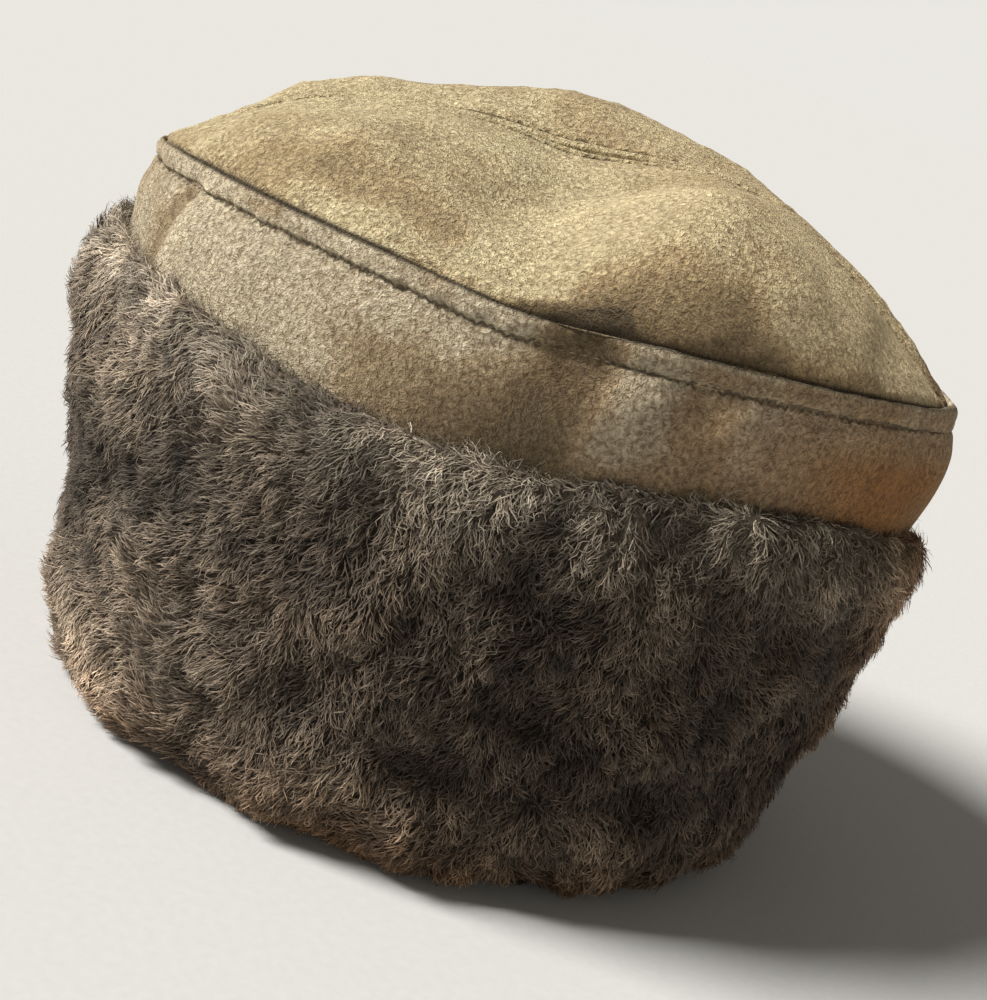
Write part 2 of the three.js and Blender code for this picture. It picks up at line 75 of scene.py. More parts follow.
def toward(azimuth, elevation):
    """Unit vector for degrees round from +X and degrees up."""
    azimuth = math.radians(azimuth)
    elevation = math.radians(elevation)
    flat = math.cos(elevation)
    return Vector((math.cos(azimuth) * flat, math.sin(azimuth) * flat, math.sin(elevation)))


def make_camera():
    azimuth = math.radians(CAMERA_AZIMUTH)
    roll = math.radians(CAMERA_ROLL)
    back = toward(CAMERA_AZIMUTH - 90, CAMERA_ELEVATION)
    right = Vector((math.cos(azimuth), math.sin(azimuth), 0))
    up = back.cross(right)
    across = right * math.cos(roll) + up * math.sin(roll)
    upward = up * math.cos(roll) - right * math.sin(roll)
    lens = bpy.data.cameras.new("camera")
    lens.sensor_width = CAMERA_SENSOR
    lens.lens = CAMERA_LENS
    lens.clip_start = 0.01
    lens.clip_end = 50
    camera = bpy.data.objects.new("camera", lens)
    bpy.context.scene.collection.objects.link(camera)
    turned = Matrix((across, upward, back)).transposed().to_4x4()
    camera.matrix_world = Matrix.Translation(CAMERA_AIM + back * CAMERA_DISTANCE) @ turned
    bpy.context.scene.camera = camera


make_camera()


# Small helpers for numbers


def smooth_field(seed, size, waves=14):
    """Smooth random values over space, about -2 to 2, with swells about size apart."""
    random = np.random.default_rng(seed)
    heading = random.normal(size=(waves, 3))
    heading /= np.linalg.norm(heading, axis=1, keepdims=True)
    rate = heading * (2 * math.pi / size) * random.uniform(0.6, 1.5, (waves, 1))
    start = random.uniform(0, 2 * math.pi, waves)
    return lambda points: np.sin(points @ rate.T + start).sum(1) / math.sqrt(waves / 2)


def unit(vectors):
    return vectors / np.maximum(np.linalg.norm(vectors, axis=-1, keepdims=True), 1e-12)


def hump(distance, reach):
    """1 at no distance, falling softly towards 0 past its reach."""
    return np.exp(-((distance / reach) ** 2))


def mark_share(distance, width):
    """1 on a mark, falling quickly to 0 past its width."""
    return np.exp(-((distance / width) ** 3))


def curve(places, points):
    """Values at the places, along a line through (place, value) points."""
    return np.interp(places, *zip(*points))


def polar(points):
    """Degrees round the hat from its front, 0 to 360."""
    return np.degrees(np.arctan2(points[:, 1], points[:, 0])) % 360


def turn_from(middle, degrees):
    """The shorter turn from one angle to others, -180 to 180."""
    return (degrees - middle + 180) % 360 - 180


# Small helpers for meshes

WELD = 0.02 * MM
SHARP_EDGE = math.radians(70)
FOLDED_EDGE = math.radians(40)
FOLD_CREASE = 0.55  # how firmly a folded edge is kept, where 1 keeps it sharp


def solid_mesh(node):
    """The mesh of a solid, its loose triangles merged and joined into quads."""
    mesh = bmesh.new()
    mesh.from_mesh(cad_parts[node].data)
    bmesh.ops.remove_doubles(mesh, verts=mesh.verts, dist=WELD)
    bmesh.ops.join_triangles(
        mesh,
        faces=mesh.faces,
        angle_face_threshold=math.radians(80),
        angle_shape_threshold=math.radians(120),
    )
    return mesh


def edges_past(mesh, angle):
    """Edges between faces that turn more than an angle."""
    return [e for e in mesh.edges if e.is_manifold and e.calc_face_angle() > angle]


def with_modifiers(mesh, add):
    """Applies modifiers to the bmesh. add is a function that puts them on."""
    data = bpy.data.meshes.new("working")
    mesh.to_mesh(data)
    holder = bpy.data.objects.new("working", data)
    bpy.context.scene.collection.objects.link(holder)
    add(holder.modifiers)
    shaped = holder.evaluated_get(bpy.context.evaluated_depsgraph_get()).to_mesh()
    mesh.clear()
    mesh.from_mesh(shaped)
    bpy.data.objects.remove(holder)
    bpy.data.meshes.remove(data)


def subdivide(mesh, levels):
    """Smooth subdivision that keeps the sharp edges."""
    crease = mesh.edges.layers.float.new("crease_edge")
    for edge in edges_past(mesh, FOLDED_EDGE):
        edge[crease] = FOLD_CREASE
    for edge in edges_past(mesh, SHARP_EDGE):
        edge[crease] = 1.0

    def add(modifiers):
        smoothing = modifiers.new("smoothing", "SUBSURF")
        smoothing.levels = smoothing.render_levels = levels

    with_modifiers(mesh, add)
    mesh.verts.index_update()


def finer_where(mesh, chosen, flat_axis=None):
    """Halves each edge between chosen points, or only those that run across an axis."""
    edges = []
    for edge in mesh.edges:
        first, second = edge.verts
        if chosen[first.index] and chosen[second.index]:
            step = second.co - first.co
            if flat_axis is None or abs(step[flat_axis]) < 0.5 * step.length:
                edges.append(edge)
    bmesh.ops.subdivide_edges(mesh, edges=edges, cuts=1, use_grid_fill=True)
    mesh.verts.index_update()


def positions(mesh):
    return np.array([v.co for v in mesh.verts])


def normals(mesh):
    mesh.normal_update()
    return np.array([v.normal for v in mesh.verts])


def set_positions(mesh, points):
    for vertex, point in zip(mesh.verts, points):
        vertex.co = point


def set_values(mesh, name, values):
    layer = mesh.verts.layers.float.new(name)
    for vertex, value in zip(mesh.verts, values):
        vertex[layer] = value


def facing_out(mesh):
    """True where a point of the mesh is on the outside of the hat."""
    return (normals(mesh) * (positions(mesh) - np.array(INSIDE))).sum(1) > 0


def outer_faces(mesh):
    """Faces on the outside of the hat, with their edges and points."""
    mesh.verts.index_update()
    outside = facing_out(mesh)
    faces = [f for f in mesh.faces if all(outside[v.index] for v in f.verts)]
    edges = {e for f in faces for e in f.edges}
    points = {v for f in faces for v in f.verts}
    return [*points, *edges, *faces]


def distance_to(surface, points):
    return np.array([surface.find_nearest(Vector(point))[3] for point in points])


def crest_of(node, levels, step):
    """Height of a solid's upper edge at any angle round the hat."""
    mesh = solid_mesh(node)
    subdivide(mesh, levels)
    points = positions(mesh)
    mesh.free()
    angle = polar(points)
    stops = np.arange(0, 360, step)
    tops = np.array([points[np.abs(turn_from(stop, angle)) < step][:, 2].max() for stop in stops])
    soft = (np.roll(tops, 1) + 2 * tops + np.roll(tops, -1)) / 4
    return lambda degrees: np.interp(degrees, np.append(stops, 360), np.append(soft, soft[0]))


band_crest = crest_of("side_band", 2, 2.5)
cuff_crest = crest_of("fur_cuff", 1, 6)


def below_crest(crest, points):
    """How far points are below an upper edge."""
    return crest(polar(points)) - points[:, 2]


def add_piece(data, name, finish):
    """An object for a mesh, with its finish, that belongs to the hat."""
    data.materials.clear()
    data.materials.append(finish)
    piece = bpy.data.objects.new(name, data)
    bpy.context.scene.collection.objects.link(piece)
    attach(piece, "root")
    return piece


def new_piece(mesh, name, finish):
    """A smooth piece of the hat from a bmesh, which is used up."""
    data = bpy.data.meshes.new(name)
    mesh.to_mesh(data)
    mesh.free()
    data.shade_smooth()
    return add_piece(data, name, finish)


# Finishes


class Finish:
    """A material under construction, with short names for its nodes."""

    def __init__(self, name):
        self.material = bpy.data.materials.new(name)
        self.material.use_nodes = True
        self.tree = self.material.node_tree
        self.place = self.node("ShaderNodeTexCoord", {})["Object"]

    def feed(self, sockets, values):
        """Links sockets to the outputs of nodes, or sets them to plain values."""
        for name, value in values.items():
            if isinstance(value, bpy.types.NodeSocket):
                self.tree.links.new(value, sockets[name])
            elif isinstance(value, tuple):
                sockets[name].default_value = (*value, 1)
            else:
                sockets[name].default_value = value

    def node(self, kind, inputs, **settings):
        """The outputs of a new node with these inputs and settings."""
        made = self.tree.nodes.new(kind)
        for name, value in settings.items():
            setattr(made, name, value)
        self.feed(made.inputs, inputs)
        return made.outputs

    def noise(self, size, detail=2.0, roughness=0.5, distortion=0.0):
        """Noise with features about size apart."""
        inputs = {
            "Vector": self.place,
            "Scale": 1 / size,
            "Detail": detail,
            "Roughness": roughness,
            "Distortion": distortion,
        }
        return self.node("ShaderNodeTexNoise", inputs)["Fac"]

    def noise_along(self, walk, size):
        """Noise of one value, with features about size apart."""
        inputs = {"W": walk, "Scale": 1 / size}
        return self.node("ShaderNodeTexNoise", inputs, noise_dimensions="1D")["Fac"]

    def attribute(self, name, output="Fac"):
        return self.node("ShaderNodeAttribute", {}, attribute_name=name)[output]

    def math(self, operation, first, second=0.0):
        return self.node("ShaderNodeMath", {0: first, 1: second}, operation=operation)[0]

    def weighed(self, *parts):
        """The sum of (value, weight) parts."""
        total = 0.0
        for value, weight in parts:
            total = self.math("ADD", self.math("MULTIPLY", value, weight), total)
        return total

    def spread(self, value, low, high, to_low=0.0, to_high=1.0):
        """The value moved from one range to another, clamped."""
        inputs = {
            "Value": value,
            "From Min": low,
            "From Max": high,
            "To Min": to_low,
            "To Max": to_high,
        }
        return self.node("ShaderNodeMapRange", inputs, interpolation_type="SMOOTHSTEP")["Result"]

    def ramp(self, value, *stops):
        """Colour by a value, between two (position, colour) stops."""
        made = self.tree.nodes.new("ShaderNodeValToRGB")
        self.feed(made.inputs, {"Fac": value})
        for element, (position, colour) in zip(made.color_ramp.elements, stops):
            element.position = position
            element.color = (*colour, 1)
        return made.outputs["Color"]

    def mix(self, factor, first, second, blend="MIX"):
        inputs = {"Factor": factor, "A": first, "B": second}
        return self.node("ShaderNodeMix", inputs, data_type="RGBA", blend_type=blend)["Result"]

    def scaled(self, colour, factor):
        """The colour times a value."""
        inputs = {0: colour, "Scale": factor}
        return self.node("ShaderNodeVectorMath", inputs, operation="SCALE")["Vector"]

    def bump(self, height, distance):
        return self.node("ShaderNodeBump", {"Height": height, "Distance": distance})["Normal"]

    def finished(self, inputs):
        """The material, its shader given these inputs."""
        self.feed(self.tree.nodes["Principled BSDF"].inputs, inputs)
        return self.material


# Suede colours. stitches: the dark line along each row of stitches. width and zigzag:
# that line's half width and its steps to the sides, in mm
CROWN_SUEDE = {
    "pale": (0.45, 0.383, 0.235),
    "brown": (0.343, 0.262, 0.147),
    "stitches": (0.075, 0.055, 0.03),
    "width": 0.9,
    "zigzag": 0.18,
}
BAND_SUEDE = {
    "pale": (0.388, 0.336, 0.242),
    "brown": (0.295, 0.222, 0.137),
    "stitches": (0.06, 0.042, 0.025),
    # the band's line is widened, partly to paint the soft shade under its turned-in edge
    "width": 0.8,
    "zigzag": 0.38,
}
# orange-brown of painted warm bounce light in the shade at the band's front right and the crown's
# front
WARM_BOUNCE_LIGHT = (0.25, 0.092, 0.01)
SHADED = (0.08, 0.053, 0.024)
# deepest painted shade, in the pinch and in the seam between crown and band
DEEP_SHADE = (0.025, 0.016, 0.009)
BETWEEN_FLECKS = (0.38, 0.32, 0.265)
WHITE = (1.0, 1.0, 1.0)
THREAD_DARK = (0.09, 0.068, 0.04)
THREAD_PALE = (0.2, 0.155, 0.095)
PILE_DARK = (0.014, 0.0105, 0.008)
PILE_PALE = (0.06, 0.047, 0.035)
PAPER_DARK = (0.455, 0.45, 0.44)
PAPER_PALE = (0.475, 0.47, 0.46)
SUEDE_SHEEN = (0.9, 0.78, 0.55)

# Sizes of the suede's grains, and the depth of its bumps
FIBRES = 0.55 * MM
FLECKS = 1.5 * MM
CLOUDS = 9 * MM
PATCHES = 42 * MM
SUEDE_BUMPS = 2.9 * MM

# Tones of the suede's nap and painted light, from painted deep shade through painted shade to painted
# highlight
NAP_DEEP_SHADE = -5.6
NAP_SHADED = -3.2
NAP_DULL = -0.8
NAP_LIFTED = 0.2
NAP_BRIGHT = 1.8

STITCH_STEP = 3.1 * MM
STITCH_LENGTH = 2.2 * MM
STITCH_WIDTH = 0.45 * MM
STITCH_SINK = 0.12 * MM
WANDER = 0.45  # mm that the line of stitches strays to its sides
WANDER_LENGTH = 5  # mm from one such stray to the next


def stitched_line(finish, width, zigzag):
    """Thin line, stepping from stitch to stitch, where they pull the suede in."""
    half_step = STITCH_STEP / MM / 2
    walk = finish.attribute("walk")
    step = finish.math("PINGPONG", walk, half_step)
    shift = finish.spread(step, 0, half_step, -zigzag, zigzag)
    wander = finish.spread(finish.noise_along(walk, WANDER_LENGTH), 0.3, 0.7, -WANDER, WANDER)
    shift = finish.math("ADD", shift, wander)
    away = finish.math("ABSOLUTE", finish.math("ADD", finish.attribute("row"), shift))
    line = finish.spread(away, 0.1, width, 1.0, 0.0)
    worn = finish.spread(finish.noise(FLECKS), 0.3, 0.55, 0.6, 1.0)
    return finish.math("MULTIPLY", line, worn)


def napped_and_painted_suede(finish, look, flecks, clouds):
    """Colour of the suede: random patches, painted warm bounce light, painted shade, painted
    highlights and flecks.
    """
    patches = finish.noise(PATCHES, detail=4, roughness=0.55, distortion=0.8)
    nap_and_painted_light = finish.attribute("nap_and_painted_light")
    brushed_and_painted = finish.weighed((patches, 0.6), (nap_and_painted_light, 0.11), (flecks, 0.12), (clouds, 0.14))
    colour = finish.mix(finish.spread(brushed_and_painted, 0.28, 0.48), look["brown"], look["pale"])
    colour = finish.mix(finish.attribute("warm"), colour, WARM_BOUNCE_LIGHT)
    # painted shade where the tone is low
    colour = finish.mix(finish.spread(nap_and_painted_light, NAP_SHADED, NAP_DULL, 0.8, 0.0), colour, SHADED)
    colour = finish.mix(finish.spread(nap_and_painted_light, NAP_DEEP_SHADE, NAP_SHADED, 0.8, 0.0), colour, DEEP_SHADE)
    # painted highlight where the tone is high
    colour = finish.scaled(colour, finish.spread(nap_and_painted_light, NAP_LIFTED, NAP_BRIGHT, 1.0, 1.16))
    grain = finish.ramp(flecks, (0.35, BETWEEN_FLECKS), (0.63, WHITE))
    colour = finish.mix(1.0, colour, grain, blend="MULTIPLY")
    return finish.scaled(colour, finish.spread(clouds, 0.3, 0.7, 1.36, 1.64))


def suede(name, look):
    """Napped suede with its rows of stitches, its seam grooves darkened with painted shade."""
    finish = Finish(name)
    flecks = finish.noise(FLECKS, detail=3, roughness=0.66, distortion=0.7)
    fibres = finish.noise(FIBRES, detail=2, roughness=0.6)
    clouds = finish.noise(CLOUDS, detail=3, roughness=0.6, distortion=0.8)
    colour = napped_and_painted_suede(finish, look, flecks, clouds)
    line = stitched_line(finish, look["width"], look["zigzag"])
    colour = finish.mix(finish.math("MULTIPLY", line, 0.85), colour, look["stitches"])
    # painted shade in the seam between crown and band
    colour = finish.mix(finish.attribute("groove"), colour, DEEP_SHADE)
    height = finish.weighed((flecks, 1.0), (fibres, 0.4), (line, -0.3))
    inputs = {
        "Base Color": colour,
        "Normal": finish.bump(height, SUEDE_BUMPS),
        "Roughness": 0.92,
        "Specular IOR Level": 0.12,
        "Sheen Weight": 0.25,
        "Sheen Roughness": 0.5,
        "Sheen Tint": SUEDE_SHEEN,
    }
    return finish.finished(inputs)


def thread():
    """Dull twisted thread, dusted with the suede's fibres."""
    finish = Finish("thread")
    twist = finish.noise(0.6 * MM, detail=2, roughness=0.6)
    colour = finish.ramp(twist, (0.35, THREAD_DARK), (0.7, THREAD_PALE))
    bumps = finish.bump(twist, 0.2 * MM)
    return finish.finished({"Base Color": colour, "Normal": bumps, "Roughness": 0.85})


def undercoat():
    """Dense dark pile that shows between the strands."""
    finish = Finish("fur_undercoat")
    tufts = finish.noise(4 * MM, detail=3, roughness=0.6, distortion=1.2)
    hairs = finish.noise(0.9 * MM, detail=3, roughness=0.7)
    tone = finish.math("MULTIPLY", tufts, hairs)
    colour = finish.ramp(tone, (0.12, PILE_DARK), (0.45, PILE_PALE))
    inputs = {
        "Base Color": finish.scaled(colour, finish.attribute("shade")),
        "Normal": finish.bump(tone, 1.2 * MM),
        "Roughness": 0.95,
        "Specular IOR Level": 0.1,
    }
    return finish.finished(inputs)


def fur():
    """Strands: dark at the root, lighter at the tip, as their own colours say."""
    finish = Finish("fur_strands")
    colour = finish.attribute("hair_colour", "Color")
    streaks = finish.spread(finish.noise(0.7 * MM, detail=2, roughness=0.6), 0.32, 0.68, 0.7, 1.28)
    colour = finish.scaled(colour, streaks)
    return finish.finished({"Base Color": colour, "Roughness": 0.62, "Specular IOR Level": 0.22})


def paper():
    finish = Finish("pale_paper")
    tooth = finish.noise(3 * MM, detail=2)
    colour = finish.ramp(tooth, (0.3, PAPER_DARK), (0.7, PAPER_PALE))
    return finish.finished({"Base Color": colour, "Roughness": 1.0, "Specular IOR Level": 0.0})


# Crown

CENTRE_ROW = 3.1 * MM  # from the centre seam to each row of stitches
SEAM_CUTS = [1.2 * MM, 2.0 * MM, 2.6 * MM, 3.1 * MM, 3.6 * MM, 4.2 * MM, 5.4 * MM]
ROW_DEPTH = 1.1 * MM
ROW_WIDTH = 0.9 * MM
ROW_PUFF = 0.45 * MM  # rise of the suede on both sides of a row
SEAM_LIP = 1.3 * MM
SEAM_LIP_WIDTH = 1.1 * MM
FINE_NEAR_BAND = (6 * MM, 2.5 * MM)
TUCK_DEPTH = 0.9 * MM  # dip of the crown's edge into its seam with the band
TUCK_WIDTH = 2.2 * MM
TIP_EASE = 14 * MM  # that dip eases out this far from the crown's tips
GROOVE_REACH = 1.0 * MM
GROOVE_FADE = 0.7 * MM
BACK_TIP_EASE = 16 * MM
BACK_TIP_GROOVE = 0.15
EDGE_SHADE = 1.0  # painted shade beside the band, painted highlight beside the centre seam, in the tone of the nap
EDGE_SHADE_WIDTH = 5 * MM
SEAM_LIGHT = 0.8
SEAM_LIGHT_WIDTH = 2 * MM
# share of painted warm bounce light at the crown's front
CROWN_WARMTH = 0.12
EDGE_ROUNDING = 0.4 * MM
CROWN_SWELLS = ((0.45, 34), (0.16, 9))  # height and size in mm
NO_ROW = 99.0  # distance in mm given to points with no stitches near

# Marks on the crown, soft lines that the photograph shows: start and end as shares of
# the crown's half length and half width, where right of the seam is negative, then
# width and lift in mm, and tone: the nap brushed lighter and darker, with painted shade
# in the valley, creases, pinch, foot and front tip, and painted highlights on the
# valley edge, shoulder, ridge and front light.
CROWN_MARKS = {
    "valley": ((-0.46, -0.72), (-0.2, -0.78), 9, -0.9, -1.5),
    "valley edge": ((-0.54, -0.78), (-0.28, -0.92), 5, 0.6, 0.9),
    "back patch": ((-0.7, -0.62), (-0.52, -0.66), 8, -0.3, -0.9),
    "shoulder": ((-0.12, -0.84), (0.09, -0.4), 10, 0.4, 1.0),
    "shoulder end": ((0.09, -0.4), (0.3, -0.5), 7, 0.4, 1.0),
    "small crease": ((0.4, -0.66), (0.48, -0.64), 3, -0.9, -0.9),
    "upright crease": ((0.42, -0.8), (0.44, -0.88), 6, -0.7, -0.6),
    # pinch, end of the pinch and front foot: painted shade above the seam with the band
    "pinch": ((-0.03, -1.025), (0.19, -0.965), 3.6, 0, -4.4),
    "end of the pinch": ((0.18, -0.975), (0.33, -0.955), 3.2, 0, -2.0),
    "front foot": ((0.16, -0.95), (0.45, -0.86), 11, 0, -2.3),
    "front foot end": ((0.5, -0.86), (0.82, -0.58), 6, 0, -1.5),
    # front light: painted light on the crown's front
    "front light": ((0.55, -0.45), (0.85, -0.25), 15, 0, 1.4),
    "front tip": ((0.96, 0.03), (1.0, 0.1), 7, -0.7, -3.4),
    "beside the seam": ((0.36, -0.12), (0.94, -0.07), 8, -1.6, 0),
    "beyond the seam": ((0.4, 0.12), (0.94, 0.08), 8, 1.0, 0),
    "far hump": ((-0.5, 0.3), (-0.15, 0.28), 22, 3.2, 0),
    "far shoulder": ((0.1, 0.29), (0.3, 0.33), 16, 2.2, 0),
    "fine ridge": ((-0.08, -0.79), (0.0, -0.57), 2.4, 0.35, 0.9),
    "end of the ridge": ((0.0, -0.57), (0.12, -0.44), 2.4, 0.35, 0.9),
}


def crown_spot(along, across):
    return np.array((CROWN_MIDDLE + along * CROWN_HALF_LENGTH, SEAM_Y + across * CROWN_HALF_WIDTH))


def distance_to_line(points, start, end):
    way = end - start
    share = np.clip(((points - start) @ way) / (way @ way), 0, 1)
    return np.linalg.norm(points - start - share[:, None] * way, axis=1)


def crown_marks(points):
    """Lift and tone of the marks at each point of the crown, the tone partly painted light and shade.
    """
    lift = np.zeros(len(points))
    tone = np.zeros(len(points))
    for start, end, width, rise, brushed_and_painted in CROWN_MARKS.values():
        away = distance_to_line(points[:, :2], crown_spot(*start), crown_spot(*end))
        share = mark_share(away, width * MM)
        lift += rise * MM * share
        tone += brushed_and_painted * share
    return lift, tone


def crown_relief(points, beside, from_band, seed):
    """Lift and tone of the crown: its marks, rows, tucked edge and gentle swells."""
    lift, tone = crown_marks(points)
    uneven = 0.85 + 0.25 * smooth_field(seed + 2, 5 * MM)(points)
    lift = lift - ROW_DEPTH * (hump(beside - CENTRE_ROW, ROW_WIDTH) * uneven)
    lift = lift + ROW_PUFF * hump(beside - 2 * CENTRE_ROW, CENTRE_ROW)
    lift = lift + ROW_PUFF * hump(beside - SEAM_LIP, SEAM_LIP_WIDTH)
    from_tip = CROWN_HALF_LENGTH - np.abs(points[:, 0] - CROWN_MIDDLE)
    lift = lift - TUCK_DEPTH * hump(from_band, TUCK_WIDTH) * np.clip(from_tip / TIP_EASE, 0, 1)
    ease = np.clip(beside / (2 * CENTRE_ROW), 0, 1)
    for k, (height, size) in enumerate(CROWN_SWELLS):
        lift = lift + ease * height * MM * smooth_field(seed + k, size * MM)(points)
    # painted shade beside the band and painted highlight beside the centre seam
    tone = tone - EDGE_SHADE * hump(from_band, EDGE_SHADE_WIDTH)
    return lift, tone + SEAM_LIGHT * hump(beside, SEAM_LIGHT_WIDTH)


def crown_groove(points, from_band):
    """1 where painted shade darkens the seam between crown and band, fainter at the back tip."""
    tucked = hump(np.maximum(from_band - GROOVE_REACH, 0), GROOVE_FADE)
    return tucked * np.clip((points[:, 0] - RIGHT_LOW.x) / BACK_TIP_EASE, BACK_TIP_GROOVE, 1)


def finer_near_band(mesh, band):
    for reach in FINE_NEAR_BAND:
        near_band = distance_to(band, positions(mesh)) < reach
        finer_where(mesh, near_band & facing_out(mesh))


def cut_beside_seam(mesh, side):
    """Lines of points along the centre seam, for its pressed rows."""
    for cut in SEAM_CUTS:
        bmesh.ops.bisect_plane(
            mesh,
            geom=outer_faces(mesh),
            dist=WELD,
            plane_co=(0, SEAM_Y + side * cut, 0),
            plane_no=(0, 1, 0),
        )


def round_edges(mesh):
    mesh.normal_update()
    bmesh.ops.bevel(
        mesh,
        geom=edges_past(mesh, SHARP_EDGE),
        offset=EDGE_ROUNDING,
        segments=2,
        profile=0.5,
        affect="EDGES",
        clamp_overlap=True,
        material=-1,
    )


def crown_half(node, side, name, finish, seed, band):
    """One half of the crown, its centre edge pressed open and stitched down."""
    mesh = solid_mesh(node)
    subdivide(mesh, 2)
    finer_near_band(mesh, band)
    cut_beside_seam(mesh, side)
    outside = facing_out(mesh)
    heading = normals(mesh)
    points = positions(mesh)
    beside = np.abs(points[:, 1] - SEAM_Y)
    along = (points[:, 0] - CROWN_MIDDLE) / CROWN_HALF_LENGTH
    from_band = distance_to(band, points)
    lift, tone = crown_relief(points, beside, from_band, seed)
    set_positions(mesh, points + heading * (lift * outside)[:, None])
    # tone of the nap, with the marks' painted light and shade
    set_values(mesh, "nap_and_painted_light", tone)
    # painted warm bounce light, growing towards the crown's shaded front
    set_values(mesh, "warm", CROWN_WARMTH * np.clip((along + 0.1) / 0.5, 0, 1))
    set_values(mesh, "row", np.where(outside, (beside - CENTRE_ROW) / MM, NO_ROW))
    set_values(mesh, "walk", points[:, 0] / MM)
    set_values(mesh, "groove", outside * crown_groove(points, from_band))
    round_edges(mesh)
    surface = BVHTree.FromBMesh(mesh)
    piece = new_piece(mesh, name, finish)
    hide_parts(node)
    return surface


# Side band

BAND_SEED = 31
EDGE_ROW_DROP = 7.0 * MM  # from the band's upper edge to its row of stitches
EDGE_ROW_DEPTH = 0.6 * MM
EDGE_ROW_WIDTH = 0.7 * MM
FINE_BELOW_EDGE = 14 * MM
FINE_BESIDE_ROW = 2.4 * MM
PUCKER = 0.25 * MM
PUCKER_SIZE = 6.5 * MM
PUCKER_REACH = 6 * MM
BAND_SWELL = 0.4 * MM
BACK_DIP = 1.4 * MM  # how far the upper edge sinks at the crown's back tip
BACK_DIP_TURN = 7
BACK_DIP_FADE = 7 * MM
BAND_GROOVE = 0.75 * MM
BAND_GROOVE_TURN = 12  # degrees from the back over which that groove fades in
ROLL_DROP = 3 * MM
ROLL_WIDTH = 2.5 * MM
# where painted warm bounce light falls low on the band's front right
BOUNCE_MIDDLE = 338
BOUNCE_TURN = 29
BOUNCE_ABOVE = 2 * MM
BOUNCE_FADE = 24 * MM
BOUNCE_MOST = 0.95

# Marks on the side band: degrees from the front of a mark's upper and lower end, how
# far those ends are below the band's upper edge, width and lift, all in mm, and tone,
# mostly painted shade in its folds, creases, hollows and above the fur, and painted light
# on its lit folds and middle.
BAND_MARKS = {
    "back fold": (215, 211, 8, 34, 5, 1.0, 1.6),
    "back crease": (210, 206, 10, 36, 5, -0.9, -2.0),
    "back light": (225, 225, 10, 40, 22, 0, 0.8),
    "middle hollow": (281.5, 276, 9, 44, 11, -1.4, -3.5),
    "middle shade": (272, 266, 25, 48, 15, 0, -1.6),
    "foot of the back": (259, 252, 28, 60, 16, 0, -1.8),
    "front bulge": (352, 352, 13, 20, 15, 2.6, 0),
    "above the fur": (284, 284, 43, 60, 14, 0, -1.8),
    "above the fur, in front": (295, 295, 43, 60, 12, 0, -2.2),
    "middle light": (292, 288, 11, 26, 11, 0.6, 0.6),
    "front crease": (300, 304, 16, 42, 7, -0.9, -1.6),
}


def band_marks(points):
    """Lift and tone of the marks at each point of the band, the tone mostly painted light and shade.
    """
    lift = np.zeros(len(points))
    tone = np.zeros(len(points))
    angle = polar(points)
    drop = below_crest(band_crest, points)
    reach = np.linalg.norm(points[:, :2], axis=1)
    for upper, lower, top, bottom, width, rise, brushed_and_painted in BAND_MARKS.values():
        around = curve(drop, ((top * MM, upper), (bottom * MM, lower)))
        sideways = np.radians(turn_from(around, angle)) * reach
        below = np.maximum(drop - bottom * MM, 0) + np.maximum(top * MM - drop, 0)
        share = mark_share(np.hypot(sideways, below), width * MM)
        lift += rise * MM * share
        tone += brushed_and_painted * share
    return lift, tone


def band_relief(points, drop):
    """Lift and tone of the band: its marks, its puckered row and gentle swells."""
    lift, tone = band_marks(points)
    pucker = smooth_field(BAND_SEED, PUCKER_SIZE)(points) * hump(drop - EDGE_ROW_DROP, PUCKER_REACH)
    lift = lift - EDGE_ROW_DEPTH * hump(drop - EDGE_ROW_DROP, EDGE_ROW_WIDTH) + PUCKER * pucker
    swell = BAND_SWELL * smooth_field(BAND_SEED + 1, 30 * MM)(points)
    return lift + swell * np.clip(drop / (12 * MM), 0, 1), tone


def finer_band(mesh):
    """More points in the band's turned-in edge, and most across its stitched row."""
    near_edge = below_crest(band_crest, positions(mesh)) < FINE_BELOW_EDGE
    finer_where(mesh, near_edge & facing_out(mesh))
    from_row = np.abs(below_crest(band_crest, positions(mesh)) - EDGE_ROW_DROP)
    finer_where(mesh, (from_row < FINE_BESIDE_ROW) & facing_out(mesh), flat_axis=2)


